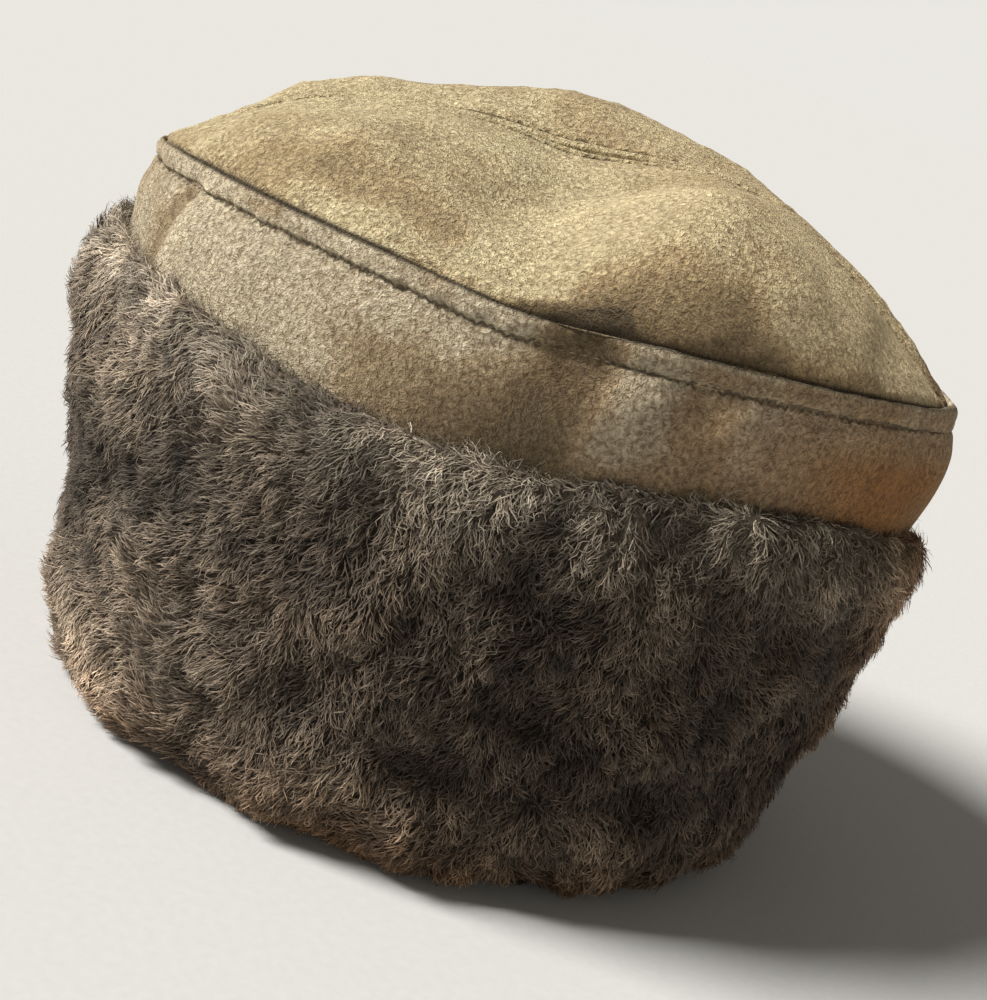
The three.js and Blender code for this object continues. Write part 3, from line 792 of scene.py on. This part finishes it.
def side_band(finish):
    """The band, its turned-in edge puckered by the row of stitches below it."""
    mesh = solid_mesh("side_band")
    subdivide(mesh, 2)
    finer_band(mesh)
    outside = facing_out(mesh)
    heading = normals(mesh)
    points = positions(mesh)
    angle = polar(points)
    drop = below_crest(band_crest, points)
    lift, tone = band_relief(points, drop)
    points = points + heading * (lift * outside)[:, None]
    dip = BACK_DIP * hump(angle - 180, BACK_DIP_TURN)
    points[:, 2] -= dip * np.clip(1 - drop / BACK_DIP_FADE, 0, 1)
    set_positions(mesh, points)
    roll = hump(drop - ROLL_DROP, ROLL_WIDTH) * smooth_field(BAND_SEED + 2, 40 * MM)(points)
    # painted shade along the band's upper edge, in its seam with the crown
    groove = hump(np.maximum(drop, 0), BAND_GROOVE)
    groove = groove * np.clip(np.abs(angle - 180) / BAND_GROOVE_TURN, 0, 1)
    # painted warm bounce light, strongest low on the band's front right
    warm_bounce = hump(turn_from(BOUNCE_MIDDLE, angle), BOUNCE_TURN)
    warm_bounce = warm_bounce * np.clip((drop + BOUNCE_ABOVE) / BOUNCE_FADE, 0, BOUNCE_MOST)
    # tone of the nap: the marks' painted light and shade, and the roll's uneven tone
    set_values(mesh, "nap_and_painted_light", tone + roll)
    set_values(mesh, "row", np.where(outside, (drop - EDGE_ROW_DROP) / MM, NO_ROW))
    set_values(mesh, "walk", np.radians(angle) * BAND_RADIUS / MM)
    set_values(mesh, "groove", outside * groove)
    set_values(mesh, "warm", warm_bounce)
    mesh.normal_update()
    surface = BVHTree.FromBMesh(mesh)
    piece = new_piece(mesh, "suede_side_band", finish)
    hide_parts("side_band")
    return surface


# Stitches

ROW_FROM_BACK = 7 * MM  # the centre rows stop short of the crown's tips
ROW_FROM_FRONT = 6 * MM
LEAST_SLOPE = 0.3  # and skip suede that stands steeper than this
ABOVE_HAT = 1.0  # rays down to the crown start at this height
BESIDE_HAT = 0.3  # and rays in to the band this far from the middle


def evenly_along(spots, step):
    """Places and headings every step along a line of (point, normal) spots."""
    points = np.array([p for p, _ in spots])
    outward = np.array([n for _, n in spots])
    walked = np.append(0, np.cumsum(np.linalg.norm(np.diff(points, axis=0), axis=1)))

    def at_walk(walk, values):
        return np.array([np.interp(walk, walked, values[:, i]) for i in range(3)])

    found = []
    for k in range(int(walked[-1] / step)):
        at = (k + 0.5) * step
        here = at_walk(at - 0.2 * step, points)
        ahead = at_walk(at + 0.2 * step, points)
        found.append((Vector((here + ahead) / 2), Vector(ahead - here), Vector(at_walk(at, outward))))
    return found


def sew(mesh, spots):
    """A short thread at every step of a line, sunk into the suede."""
    for place, ahead, normal in evenly_along(spots, STITCH_STEP):
        along = ahead.normalized()
        across = normal.cross(along).normalized()
        outward = along.cross(across)
        half = STITCH_WIDTH / 2
        shape = Matrix((along * STITCH_LENGTH / 2, across * half, outward * half))
        where = Matrix.Translation(place - outward * STITCH_SINK) @ shape.transposed().to_4x4()
        bmesh.ops.create_uvsphere(mesh, u_segments=6, v_segments=4, radius=1, matrix=where)


def centre_row(surface, side):
    spots = []
    for x in np.arange(RIGHT_LOW.x + ROW_FROM_BACK, RIGHT_HIGH.x - ROW_FROM_FRONT, 1 * MM):
        start = Vector((x, SEAM_Y + side * CENTRE_ROW, ABOVE_HAT))
        place, normal, _, _ = surface.ray_cast(start, Vector((0, 0, -1)))
        if place and normal.z > LEAST_SLOPE:
            spots.append((place, normal))
    return spots


def edge_row(surface):
    spots = []
    for degrees in np.arange(0, 360.5, 0.5):
        angle = math.radians(degrees)
        outward = Vector((math.cos(angle), math.sin(angle), 0))
        height = band_crest(degrees % 360) - EDGE_ROW_DROP
        start = outward * BESIDE_HAT + Vector((0, 0, height))
        place, normal, _, _ = surface.ray_cast(start, -outward)
        spots.append((place, normal))
    return spots


def stitches(right, left, band):
    finish = thread()
    for name, slot, spots in [
        ("stitches_right_of_centre", "crown_suede", centre_row(right, -1)),
        ("stitches_left_of_centre", "crown_suede", centre_row(left, 1)),
        ("stitches_under_edge", "band_suede", edge_row(band)),
    ]:
        mesh = bmesh.new()
        sew(mesh, spots)
        new_piece(mesh, name, finish)


# Painted light and shade of the fur, and the hills of its pile

FUR_SEED = 7
HILL = 1.0 * MM
HILL_SIZE = 34 * MM
SMALL_HILL = 0.55 * MM
SMALL_HILL_SIZE = 13 * MM
NEAR_CREST = 30 * MM

# Painted light and shade of the fur, by its distance below the cuff's upper edge and by
# degrees round from the front: lit near the crest, on the back left and at the bottom rim,
# shaded on the front and right
SHADE_BELOW = (
    (0, 1.4),
    (12 * MM, 1.3),
    (30 * MM, 0.82),
    (50 * MM, 0.52),
    (95 * MM, 0.62),
    (125 * MM, 1.35),
)
SHADE_AROUND = (
    (0, 1.0),
    (180, 1.35),
    (222, 1.48),
    (242, 1.05),
    (262, 0.88),
    (300, 0.7),
    (335, 0.72),
    (360, 1.0),
)

# Marks on the fur: degrees from the front, then height above the floor, reach and
# swell of the pile, all in mm, and how many times as bright the fur is painted, as painted
# light and shade.
FUR_MARKS = {
    "back flank": (192, 52, 38, -4.2, 1.0),
    "back waist": (192, 94, 15, -1.5, 1.0),
    "front flank": (338, 45, 36, -3.2, 1.0),
    "back rim": (222, 4, 26, 3.0, 1.0),
    "near rim": (253, 3, 24, 2.6, 1.0),
    "middle rim": (283, 3, 11, 2.6, 1.0),
    "back corner": (195, 142, 15, -6.0, 1.0),
    "below the corner": (193, 119, 15, 3.8, 1.0),
    "dark parting": (256, 97, 17, -0.8, 0.5),
    "bright tuft": (266, 113, 9, 0.6, 1.4),
    "beside the tuft": (277, 112, 11, 0, 0.6),
    "dark middle": (286, 105, 15, -0.6, 0.52),
    "front light": (303, 117, 24, 0.4, 1.4),
    "crest light": (264, 123, 11, 0, 1.2),
    "front rim": (352, 95, 52, 0, 2.3),
    "crest middle": (291, 128, 10, 0, 1.2),
    "front corner": (344, 118, 13, 2.0, 1.2),
    "middle light": (296, 116, 11, 0.2, 1.35),
    "corner light": (327, 123, 12, 0, 1.5),
    "low back light": (235, 22, 18, 0, 1.85),
    "back edge": (212, 68, 13, 0, 0.74),
    "beside the back edge": (224, 93, 13, 0, 1.35),
    "middle": (286, 60, 26, 0, 1.2),
    "back light": (228, 50, 24, 0, 2.35),
    "low light": (251, 68, 20, 0.4, 2.7),
    "rim light": (262, 16, 22, 0.4, 1.75),
}


def fur_marks(points):
    """Swell and brightness of the marks at each point of the cuff."""
    swell = np.zeros(len(points))
    bright = np.ones(len(points))
    angle = polar(points)
    from_axis = np.linalg.norm(points[:, :2], axis=1)
    for around, height, reach, rise, times in FUR_MARKS.values():
        sideways = np.radians(turn_from(around, angle)) * from_axis
        share = hump(np.hypot(sideways, points[:, 2] - height * MM), reach * MM)
        swell += rise * MM * share
        bright *= times**share
    return swell, bright


def fur_shade(points):
    """How bright the fur is painted at each point: painted light and shade by height, angle and marks.
    """
    _, marked = fur_marks(points)
    down = curve(below_crest(cuff_crest, points), SHADE_BELOW)
    return down * curve(polar(points), SHADE_AROUND) * marked


def fur_relief(points):
    """Gentle hills and hollows of the pile."""
    hills = HILL * smooth_field(FUR_SEED + 3, HILL_SIZE)(points)
    return hills + SMALL_HILL * smooth_field(FUR_SEED + 4, SMALL_HILL_SIZE)(points)


# Pile under the strands

PILE_VOXEL = 3.4 * MM
PILE_SINK = 3.0 * MM
PILE_FLOOR = 0.4 * MM  # the pile stops this far above the floor
STRAND_FLOOR = 0.3 * MM  # and the strands this far


def level_part(points):
    """The points with their heights set to 0."""
    return points * np.array((1, 1, 0))


def outward_share(points, heading):
    """1 on the cuff's outer face, falling to 0 on the face towards the band."""
    away = unit(level_part(points))
    return np.clip(((heading * away).sum(1) + 0.5) / 0.7, 0, 1)


def even_out(modifiers):
    even = modifiers.new("even", "REMESH")
    even.mode = "VOXEL"
    even.voxel_size = PILE_VOXEL
    soft = modifiers.new("soft", "SMOOTH")
    soft.iterations = 10


def fur_pile(finish):
    """The dense pile under the strands: the cuff's solid, evened out and sunk in."""
    mesh = solid_mesh("fur_cuff")
    with_modifiers(mesh, even_out)
    points = positions(mesh)
    heading = normals(mesh)
    swell, _ = fur_marks(points)
    depth = (PILE_SINK - swell - fur_relief(points)) * outward_share(points, heading)
    points = points - heading * depth[:, None]
    points[:, 2] = np.maximum(points[:, 2], PILE_FLOOR)
    set_positions(mesh, points)
    # painted light near the crest, which lightens the pile there too
    near_crest = hump(below_crest(cuff_crest, points), NEAR_CREST)
    set_values(mesh, "shade", fur_shade(points) * (1 + near_crest))
    bmesh.ops.triangulate(mesh, faces=mesh.faces)
    mesh.normal_update()
    skin = skin_arrays(mesh)
    piece = new_piece(mesh, "fur_undercoat", finish)
    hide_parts("fur_cuff")
    return skin


def skin_arrays(mesh):
    """Corners and corner normals of the pile's faces, and their areas that carry fur."""
    faces = np.array([[v.index for v in f.verts] for f in mesh.faces])
    corners = positions(mesh)[faces]
    leaning = normals(mesh)[faces]
    across = np.cross(corners[:, 1] - corners[:, 0], corners[:, 2] - corners[:, 0])
    area = np.linalg.norm(across, axis=1) / 2
    facing = unit(leaning.mean(1))
    share = outward_share(corners.mean(1), facing)
    upward = np.clip((facing[:, 2] - 0.1) / 0.5, 0, 1)
    return {
        "corners": corners,
        "normals": leaning,
        "all": area * (share > 0.3),
        "crest": area * upward * (share < 0.9),
    }


def scatter(skin, where, count, random):
    """Random places on part of the skin, with its outward direction there."""
    share = skin[where] / skin[where].sum()
    pick = random.choice(len(share), size=count, p=share)
    across = random.random((count, 2))
    turned = across.sum(1) > 1
    across[turned] = 1 - across[turned]
    shares = np.column_stack((1 - across.sum(1), across))[:, :, None]
    return (skin["corners"][pick] * shares).sum(1), unit((skin["normals"][pick] * shares).sum(1))


# Lie of the fur by degrees from the front, on either side: degrees that it leans from
# straight down towards the back, and how much its strands bend
FUR_LEAN = ((0, 0), (40, -12), (70, 5), (92, 15), (112, 42), (135, 56), (180, 62))
FUR_BEND = ((0, 0.9), (40, 1.0), (70, 1.0), (92, 0.9), (112, 0.5), (135, 0.35), (180, 0.5))
CREST_LEAN = 55  # more lean and bend along the top edge, above these shares of the height
CREST_BEND = 0.4
LEAN_FROM = 0.8
BEND_FROM = 0.72
CREST_FADE = 0.2
SWIRL = 26
SWIRL_SIZE = 60 * MM
SMALL_SWIRL = 18
SMALL_SWIRL_SIZE = 19 * MM


def turn_about(vectors, axes, angles):
    c = np.cos(angles)[:, None]
    s = np.sin(angles)[:, None]
    return vectors * c + np.cross(axes, vectors) * s


def on_either_side(points, values):
    """A curve by degrees from the front, the same on the right and the left."""
    return curve(180 - np.abs(polar(points) - 180), values)


def along_skin(vectors, heading):
    """The vectors laid flat on the skin, at unit length."""
    return unit(vectors - heading * (vectors * heading).sum(1)[:, None])


def fur_lie(points, heading):
    """Direction along the skin in which the fur lies."""
    lean = on_either_side(points, FUR_LEAN)
    lean = lean + CREST_LEAN * np.clip((points[:, 2] / CUFF_HEIGHT - LEAN_FROM) / CREST_FADE, 0, 1)
    lean = lean + SWIRL * smooth_field(FUR_SEED, SWIRL_SIZE)(points)
    lean = lean + SMALL_SWIRL * smooth_field(FUR_SEED + 1, SMALL_SWIRL_SIZE)(points)
    down = unit(np.array((0, 0, -1)) - heading * -heading[:, 2:3])
    back = np.array((-1, 0, 0)) + heading * heading[:, 0:1]
    angle = np.radians(lean)[:, None]
    return along_skin(down * np.cos(angle) + back * np.sin(angle), heading)


def fur_bend(points):
    """How much the strands bend at each point, with more near the crest."""
    near_crest = np.clip((points[:, 2] / CUFF_HEIGHT - BEND_FROM) / CREST_FADE, 0, 1)
    return on_either_side(points, FUR_BEND) + CREST_BEND * near_crest


# Strands, which gather in locks

STRAND_SEED = FUR_SEED + 10
LOCK_SPACING = 2.9 * MM
LOCK_STRAY = 18
LOCK_CURL = 32
STRAND_CURL = 18
STRAND_ROLL = 24
WAVE = 24
BAKE_MAP = "OFBake"
SECTORS = {"front": (-43, 43), "left": (43, 137), "back": (137, 223), "right": (223, 317)}

# Coats of strands, by these columns. where: the part of the skin it grows on. length:
# root to tip, lift: how far the tip stands off the skin, and width: at the root, all in
# mm. steps: places along a strand. stray: degrees that one strand's heading strays.
# inward: pull towards the band. bright: beside the other coats.
COAT_COLUMNS = ("where", "count", "length", "lift", "width", "steps", "stray", "inward", "bright")
FUR_COATS = [
    ("all", 53000, 4.0, 1.3, 0.5, (0, 0.55, 1), 22, 0, 0.8),
    ("all", 86000, 5.0, 1.8, 0.36, (0, 0.36, 0.7, 1), 19, 0, 1.05),
    ("crest", 20000, 5.8, 2.0, 0.18, (0, 0.36, 0.7, 1), 50, 1.3, 0.8),
    ("crest", 4200, 6.0, 4.6, 0.14, (0, 0.36, 0.7, 1), 60, 1.2, 0.62),
]

# Ranges and spreads of the random draws, as shares
LOCK_SIZES = (0.75, 1.25)
LOCK_TONE = 0.26
LENGTHS = (0.65, 1.25)
LIFTS = (0.5, 1.4)
PULLS = (0.2, 0.55)
WIDTHS = (0.7, 1.3)
STRAND_TONE = 0.2
TONE_LIMITS = (0.5, 1.4)
LOCK_HOLD = 0.8  # how firmly a strand follows its lock's direction


def make_locks(skin):
    """Centres of the locks, each with its own lie, curl, size and tone."""
    random = np.random.default_rng(FUR_SEED + 2)
    count = int(skin["all"].sum() / LOCK_SPACING**2)
    roots, heading = scatter(skin, "all", count, random)
    lie = turn_about(fur_lie(roots, heading), heading, np.radians(random.normal(0, LOCK_STRAY, count)))
    return {
        "root": roots,
        "lie": lie,
        "curl": np.radians(random.normal(0, LOCK_CURL, count)),
        "size": random.uniform(*LOCK_SIZES, count),
        "tone": np.exp(random.normal(0, LOCK_TONE, count)),
    }


def tree_of(roots):
    """Search tree that finds the lock nearest to a place."""
    tree = KDTree(len(roots))
    for k, root in enumerate(roots):
        tree.insert(root, k)
    tree.balance()
    return tree


def strand_lie(coat, roots, heading, lock, random):
    """Direction of each strand: between the fur's and its lock's, with some stray."""
    inward = -unit(level_part(roots))
    lie = unit(fur_lie(roots, heading) + LOCK_HOLD * lock["lie"]) + coat["inward"] * inward
    stray = np.radians(random.normal(0, coat["stray"], len(roots)))
    return turn_about(along_skin(lie, heading), heading, stray)


def strand_lines(coat, roots, heading, lock, random):
    """Points of each strand, which rises, bends and closes in on its lock."""
    count = len(roots)
    lie = strand_lie(coat, roots, heading, lock, random)
    length = coat["length"] * MM * lock["size"] * random.uniform(*LENGTHS, count)
    lift = coat["lift"] * MM * lock["size"] * random.uniform(*LIFTS, count)
    bend = fur_bend(roots)
    curl = bend * (lock["curl"] + np.radians(random.normal(0, STRAND_CURL, count)))
    pull = random.uniform(*PULLS, count)
    line = []
    place = roots
    before = 0
    for step in coat["steps"]:
        wave = bend * np.radians(random.normal(0, WAVE, count)) * (before > 0)
        ahead = turn_about(lie, heading, curl * (step + before) / 2 + wave)
        place = place + ahead * ((step - before) * length)[:, None]
        rise = lift * (1 - (1 - step) ** 2)
        gather = (roots - lock["root"]) * (pull * step)[:, None]
        line.append(place + heading * rise[:, None] - gather)
        before = step
    line = np.stack(line, 1)
    line[:, :, 2] = np.maximum(line[:, :, 2], STRAND_FLOOR)
    return line


def strand_sides(line, heading, random):
    """Directions across each strand and out of it at its points, a little rolled."""
    way = unit(np.gradient(line, axis=1))
    roll = np.radians(random.normal(0, STRAND_ROLL, len(line)))[:, None, None]
    side = unit(np.cross(way, heading[:, None, :]))
    outward = np.cross(side, way)
    c = np.cos(roll)
    s = np.sin(roll)
    return side * c + outward * s, outward * c - side * s


def grow(coat, skin, locks, tree, seed):
    """Every strand of one coat: its angle, points, directions, widths and colours."""
    random = np.random.default_rng(seed)
    count = coat["count"]
    roots, heading = scatter(skin, coat["where"], count, random)
    nearest = np.array([tree.find(root)[1] for root in roots])
    lock = {name: values[nearest] for name, values in locks.items()}
    line = strand_lines(coat, roots, heading, lock, random)
    side, outward = strand_sides(line, heading, random)
    width = coat["width"] * MM * random.uniform(*WIDTHS, count)
    tone = np.clip(lock["tone"] * np.exp(random.normal(0, STRAND_TONE, count)), *TONE_LIMITS)
    return {
        "angle": polar(roots),
        "line": line,
        "side": side,
        "outward": outward,
        "width": width,
        "colour": strand_colours(roots, line[:, 0], tone * coat["bright"], coat["steps"]),
    }


# Colours of the strands. The shares are of a tip's brightness, for its root.
ROOT_SHARE = np.array((0.32, 0.27, 0.22))
# paler roots near the crest: partly the fur's own colour, partly painted light on the top edge
CREST_ROOT_SHARE = np.array((0.7, 0.66, 0.6))
ROOT_FADE = 1.2
TIP_COLOUR = np.array((0.219, 0.166, 0.12))
# greyer tips near the crest and at the back: partly the fur's own colour, partly painted light where
# the key light falls
CREST_COLOUR = np.array((0.171, 0.148, 0.117))
# brown-orange of painted warm bounce light, at the bottom rim and the front
RIM_BOUNCE_COLOUR = np.array((0.145, 0.08, 0.038))
BACK_ANGLE = 220
BACK_TURN = 40
FRONT_ANGLE = 350
FRONT_TURN = 14
RIM_LEVEL = 0.14  # height of the painted warm bounce light along the bottom rim, as a share of the cuff's
RIM_IN_FRONT = 0.75
RIM_LOST_AT_BACK = 0.5
GREY_AT_BACK = 0.55
HILL_TONE = 0.2  # how much lighter a hill of the pile is painted for each mm: painted light on the hills, painted shade in the hollows
PATCH_TONE = 0.18
PATCH_SIZE = 55 * MM
MOTTLE_TONE = 0.3
MOTTLE_SIZE = 12 * MM
MOTTLE_MOST = 0.4


def strand_patches(places, at_back):
    """Light and dark patches of the strands: painted light on the hills, painted shade in the hollows,
    random patches, and the fur's painted light and shade.
    """
    patch = PATCH_TONE * smooth_field(FUR_SEED + 5, PATCH_SIZE)(places)
    # painted light on the hills of the pile, painted shade in its hollows
    patch = np.exp(HILL_TONE * fur_relief(places) / MM + patch)
    mottle = np.minimum(smooth_field(FUR_SEED + 6, MOTTLE_SIZE)(places), MOTTLE_MOST)
    return patch * np.exp(MOTTLE_TONE * at_back * mottle) * fur_shade(places)


def strand_colours(roots, places, tone, steps):
    """Colour at each step of each strand: dark root, light tip, painted warm bounce light at the rim,
    and paler crest colours that are partly painted light.
    """
    angle = polar(roots)
    at_back = hump(angle - BACK_ANGLE, BACK_TURN)
    patch = strand_patches(places, at_back)
    low = hump(roots[:, 2] / CUFF_HEIGHT, RIM_LEVEL) * (1 - RIM_LOST_AT_BACK * at_back)
    front = RIM_IN_FRONT * hump(turn_from(FRONT_ANGLE, angle), FRONT_TURN)
    # painted warm bounce light at the bottom rim and the front
    rim = np.maximum(low, front)[:, None]
    # paler, greyer fur near the crest and at the back, partly painted light
    upper = hump(below_crest(cuff_crest, roots), NEAR_CREST)[:, None]
    grey = np.maximum(upper, GREY_AT_BACK * at_back[:, None])
    tip = TIP_COLOUR * (1 - grey) + CREST_COLOUR * grey
    tip = (tip * (1 - rim) + RIM_BOUNCE_COLOUR * rim) * (tone * patch)[:, None]
    root = (ROOT_SHARE * (1 - upper) + CREST_ROOT_SHARE * upper)[:, None, :]
    return tip[:, None, :] * (root + (1 - root) * np.array(steps)[None, :, None] ** ROOT_FADE)


# Meshes of strands. Each is a ribbon of quads that ends in a triangle; its points are
# numbered from the root, left before right, with the tip last.

TIP_TAPER = 0.7  # width at the last quad's end beside that at the root
ROUNDNESS = 0.8  # how far a ribbon's two edges are shaded to the sides
CELL_SIDE = 0.15  # margins of a ribbon within its own cell of the bake map
CELL_END = 0.1


def on_both_edges(left, right):
    """Values of each ribbon's two edges in turn, from root to tip."""
    count, rings, _ = left.shape
    return np.stack((left, right), 2).reshape(count, rings * 2, 3)


def ribbons(strands, chosen):
    """Points, normals and colours of the chosen strands as thin ribbons."""
    own = {name: values[chosen] for name, values in strands.items()}
    line = own["line"]
    side = own["side"]
    outward = own["outward"]
    colour = own["colour"]
    half = own["width"][:, None, None] / 2
    body = line.shape[1] - 1
    edge = side[:, :body] * half * np.linspace(1.0, TIP_TAPER, body)[None, :, None]
    edges = on_both_edges(line[:, :body] - edge, line[:, :body] + edge)
    round_left = (outward - ROUNDNESS * side)[:, :body]
    round_right = (outward + ROUNDNESS * side)[:, :body]
    leaning = np.concatenate((on_both_edges(round_left, round_right), outward[:, body:]), 1)
    shade = np.concatenate((np.repeat(colour[:, :body], 2, 1), colour[:, body:]), 1)
    return {
        "points": np.concatenate((edges, line[:, body:]), 1).reshape(-1, 3),
        "normals": unit(leaning).reshape(-1, 3),
        "colours": shade.reshape(-1, 3),
    }


def ribbon_faces(body):
    """Corners of a ribbon's quads and of the triangle at its tip."""
    quads = [(2 * k, 2 * k + 1, 2 * k + 3, 2 * k + 2) for k in range(body - 1)]
    return [*quads, (2 * body - 2, 2 * body - 1, 2 * body)]


def ribbon_cells(corners, body, numbers):
    """Number of the strand, and the place within its own cell, for each corner."""
    across = [CELL_SIDE, 1 - CELL_SIDE] * body + [0.5]
    steps = [CELL_END + (1 - 2 * CELL_END) * k / body for k in range(body)]
    along = [*np.repeat(steps, 2), 1 - CELL_END]
    u = np.array([across[i] for i in corners])
    v = np.array([along[i] for i in corners])
    count = len(numbers)
    return np.column_stack((np.repeat(numbers, len(corners)), np.tile(u, count), np.tile(v, count)))


def sector_arrays(coats, low, high):
    """Arrays for one mesh of all strands rooted between two angles of the cuff."""
    parts = []
    start = 0
    strand = 0
    for strands in coats:
        chosen = np.nonzero((strands["angle"] - low) % 360 < high - low)[0]
        count = len(chosen)
        body = strands["line"].shape[1] - 1
        faces = ribbon_faces(body)
        corners = np.array([corner for face in faces for corner in face])
        first = start + np.arange(count) * (2 * body + 1)
        part = ribbons(strands, chosen)
        part["corners"] = (first[:, None] + corners).ravel()
        part["sizes"] = np.tile([len(face) for face in faces], count)
        part["cells"] = ribbon_cells(corners, body, strand + np.arange(count))
        parts.append(part)
        start += len(part["points"])
        strand += count
    return {name: np.concatenate([part[name] for part in parts]) for name in parts[0]}


def fill(values, name, array):
    values.foreach_set(name, array.astype(np.float32).ravel())


def strand_mesh(name, arrays):
    """A mesh of ribbons with their own colours, bake map and rounded normals."""
    count = len(arrays["points"])
    data = bpy.data.meshes.new(name)
    data.vertices.add(count)
    fill(data.vertices, "co", arrays["points"])
    data.loops.add(len(arrays["corners"]))
    data.loops.foreach_set("vertex_index", arrays["corners"].astype(np.int32))
    data.polygons.add(len(arrays["sizes"]))
    starts = np.append(0, np.cumsum(arrays["sizes"])[:-1])
    data.polygons.foreach_set("loop_start", starts.astype(np.int32))
    data.update(calc_edges=True)
    colour = data.attributes.new("hair_colour", "FLOAT_COLOR", "POINT")
    fill(colour.data, "color", np.column_stack((arrays["colours"], np.ones(count))))
    number, u, v = arrays["cells"].T
    columns = math.ceil(math.sqrt(number[-1] + 1))
    place = np.column_stack(((number % columns + u) / columns, (number // columns + v) / columns))
    fill(data.uv_layers.new(name=BAKE_MAP).uv, "vector", place)
    data.shade_smooth()
    data.normals_split_custom_set_from_vertices(arrays["normals"])
    return data


def fur_cuff():
    skin = fur_pile(undercoat())
    locks = make_locks(skin)
    tree = tree_of(locks["root"])
    coats = []
    for k, row in enumerate(FUR_COATS):
        coat = dict(zip(COAT_COLUMNS, row))
        coats.append(grow(coat, skin, locks, tree, STRAND_SEED + k))
    finish = fur()
    for sector, (low, high) in SECTORS.items():
        name = "fur_strands_" + sector
        add_piece(strand_mesh(name, sector_arrays(coats, low, high)), name, finish)


# Floor and light

FLOOR_RADIUS = 14
# Colours of the room, from the horizon at 0 to overhead at 1
SKY = ((0.16, (0.815, 0.8, 0.75, 1)), (0.5, (0.165, 0.153, 0.134, 1)))
KEY_AZIMUTH = 196
KEY_ELEVATION = 45
KEY_POWER = 6.8
KEY_SPREAD = math.radians(20)
KEY_COLOUR = (1, 0.985, 0.95)


def make_floor():
    mesh = bmesh.new()
    bmesh.ops.create_circle(mesh, cap_ends=True, segments=96, radius=FLOOR_RADIUS)
    bmesh.ops.recalc_face_normals(mesh, faces=mesh.faces)
    bmesh.ops.reverse_faces(mesh, faces=[f for f in mesh.faces if f.normal.z < 0])
    data = bpy.data.meshes.new("floor")
    mesh.to_mesh(data)
    mesh.free()
    data.materials.append(paper())
    floor = bpy.data.objects.new("floor", data)
    bpy.context.scene.collection.objects.link(floor)


def make_room():
    """A pale horizon that meets the floor, dimmer overhead."""
    world = bpy.data.worlds.new("studio")
    world.use_nodes = True
    nodes = world.node_tree.nodes
    links = world.node_tree.links
    heading = nodes.new("ShaderNodeTexCoord").outputs["Generated"]
    split = nodes.new("ShaderNodeSeparateXYZ")
    ramp = nodes.new("ShaderNodeValToRGB")
    links.new(heading, split.inputs["Vector"])
    links.new(split.outputs["Z"], ramp.inputs["Fac"])
    for element, (position, colour) in zip(ramp.color_ramp.elements, SKY):
        element.position = position
        element.color = colour
    links.new(ramp.outputs["Color"], nodes["Background"].inputs["Color"])
    bpy.context.scene.world = world


def make_key_light():
    direction = toward(KEY_AZIMUTH, KEY_ELEVATION)
    lamp = bpy.data.lights.new("key", "SUN")
    lamp.energy = KEY_POWER
    lamp.angle = KEY_SPREAD
    lamp.color = KEY_COLOUR
    light = bpy.data.objects.new("key", lamp)
    light.location = direction * 2
    light.rotation_euler = direction.to_track_quat("Z", "Y").to_euler()
    bpy.context.scene.collection.objects.link(light)


def build():
    band = side_band(suede("band_suede", BAND_SUEDE))
    finish = suede("crown_suede", CROWN_SUEDE)
    right = crown_half("crown_panel_right", -1, "suede_crown_right", finish, 21, band)
    left = crown_half("crown_panel_left", 1, "suede_crown_left", finish, 24, band)
    stitches(right, left, band)
    fur_cuff()
    make_floor()
    make_room()
    make_key_light()
    bpy.context.scene.view_settings.view_transform = "Standard"


build()
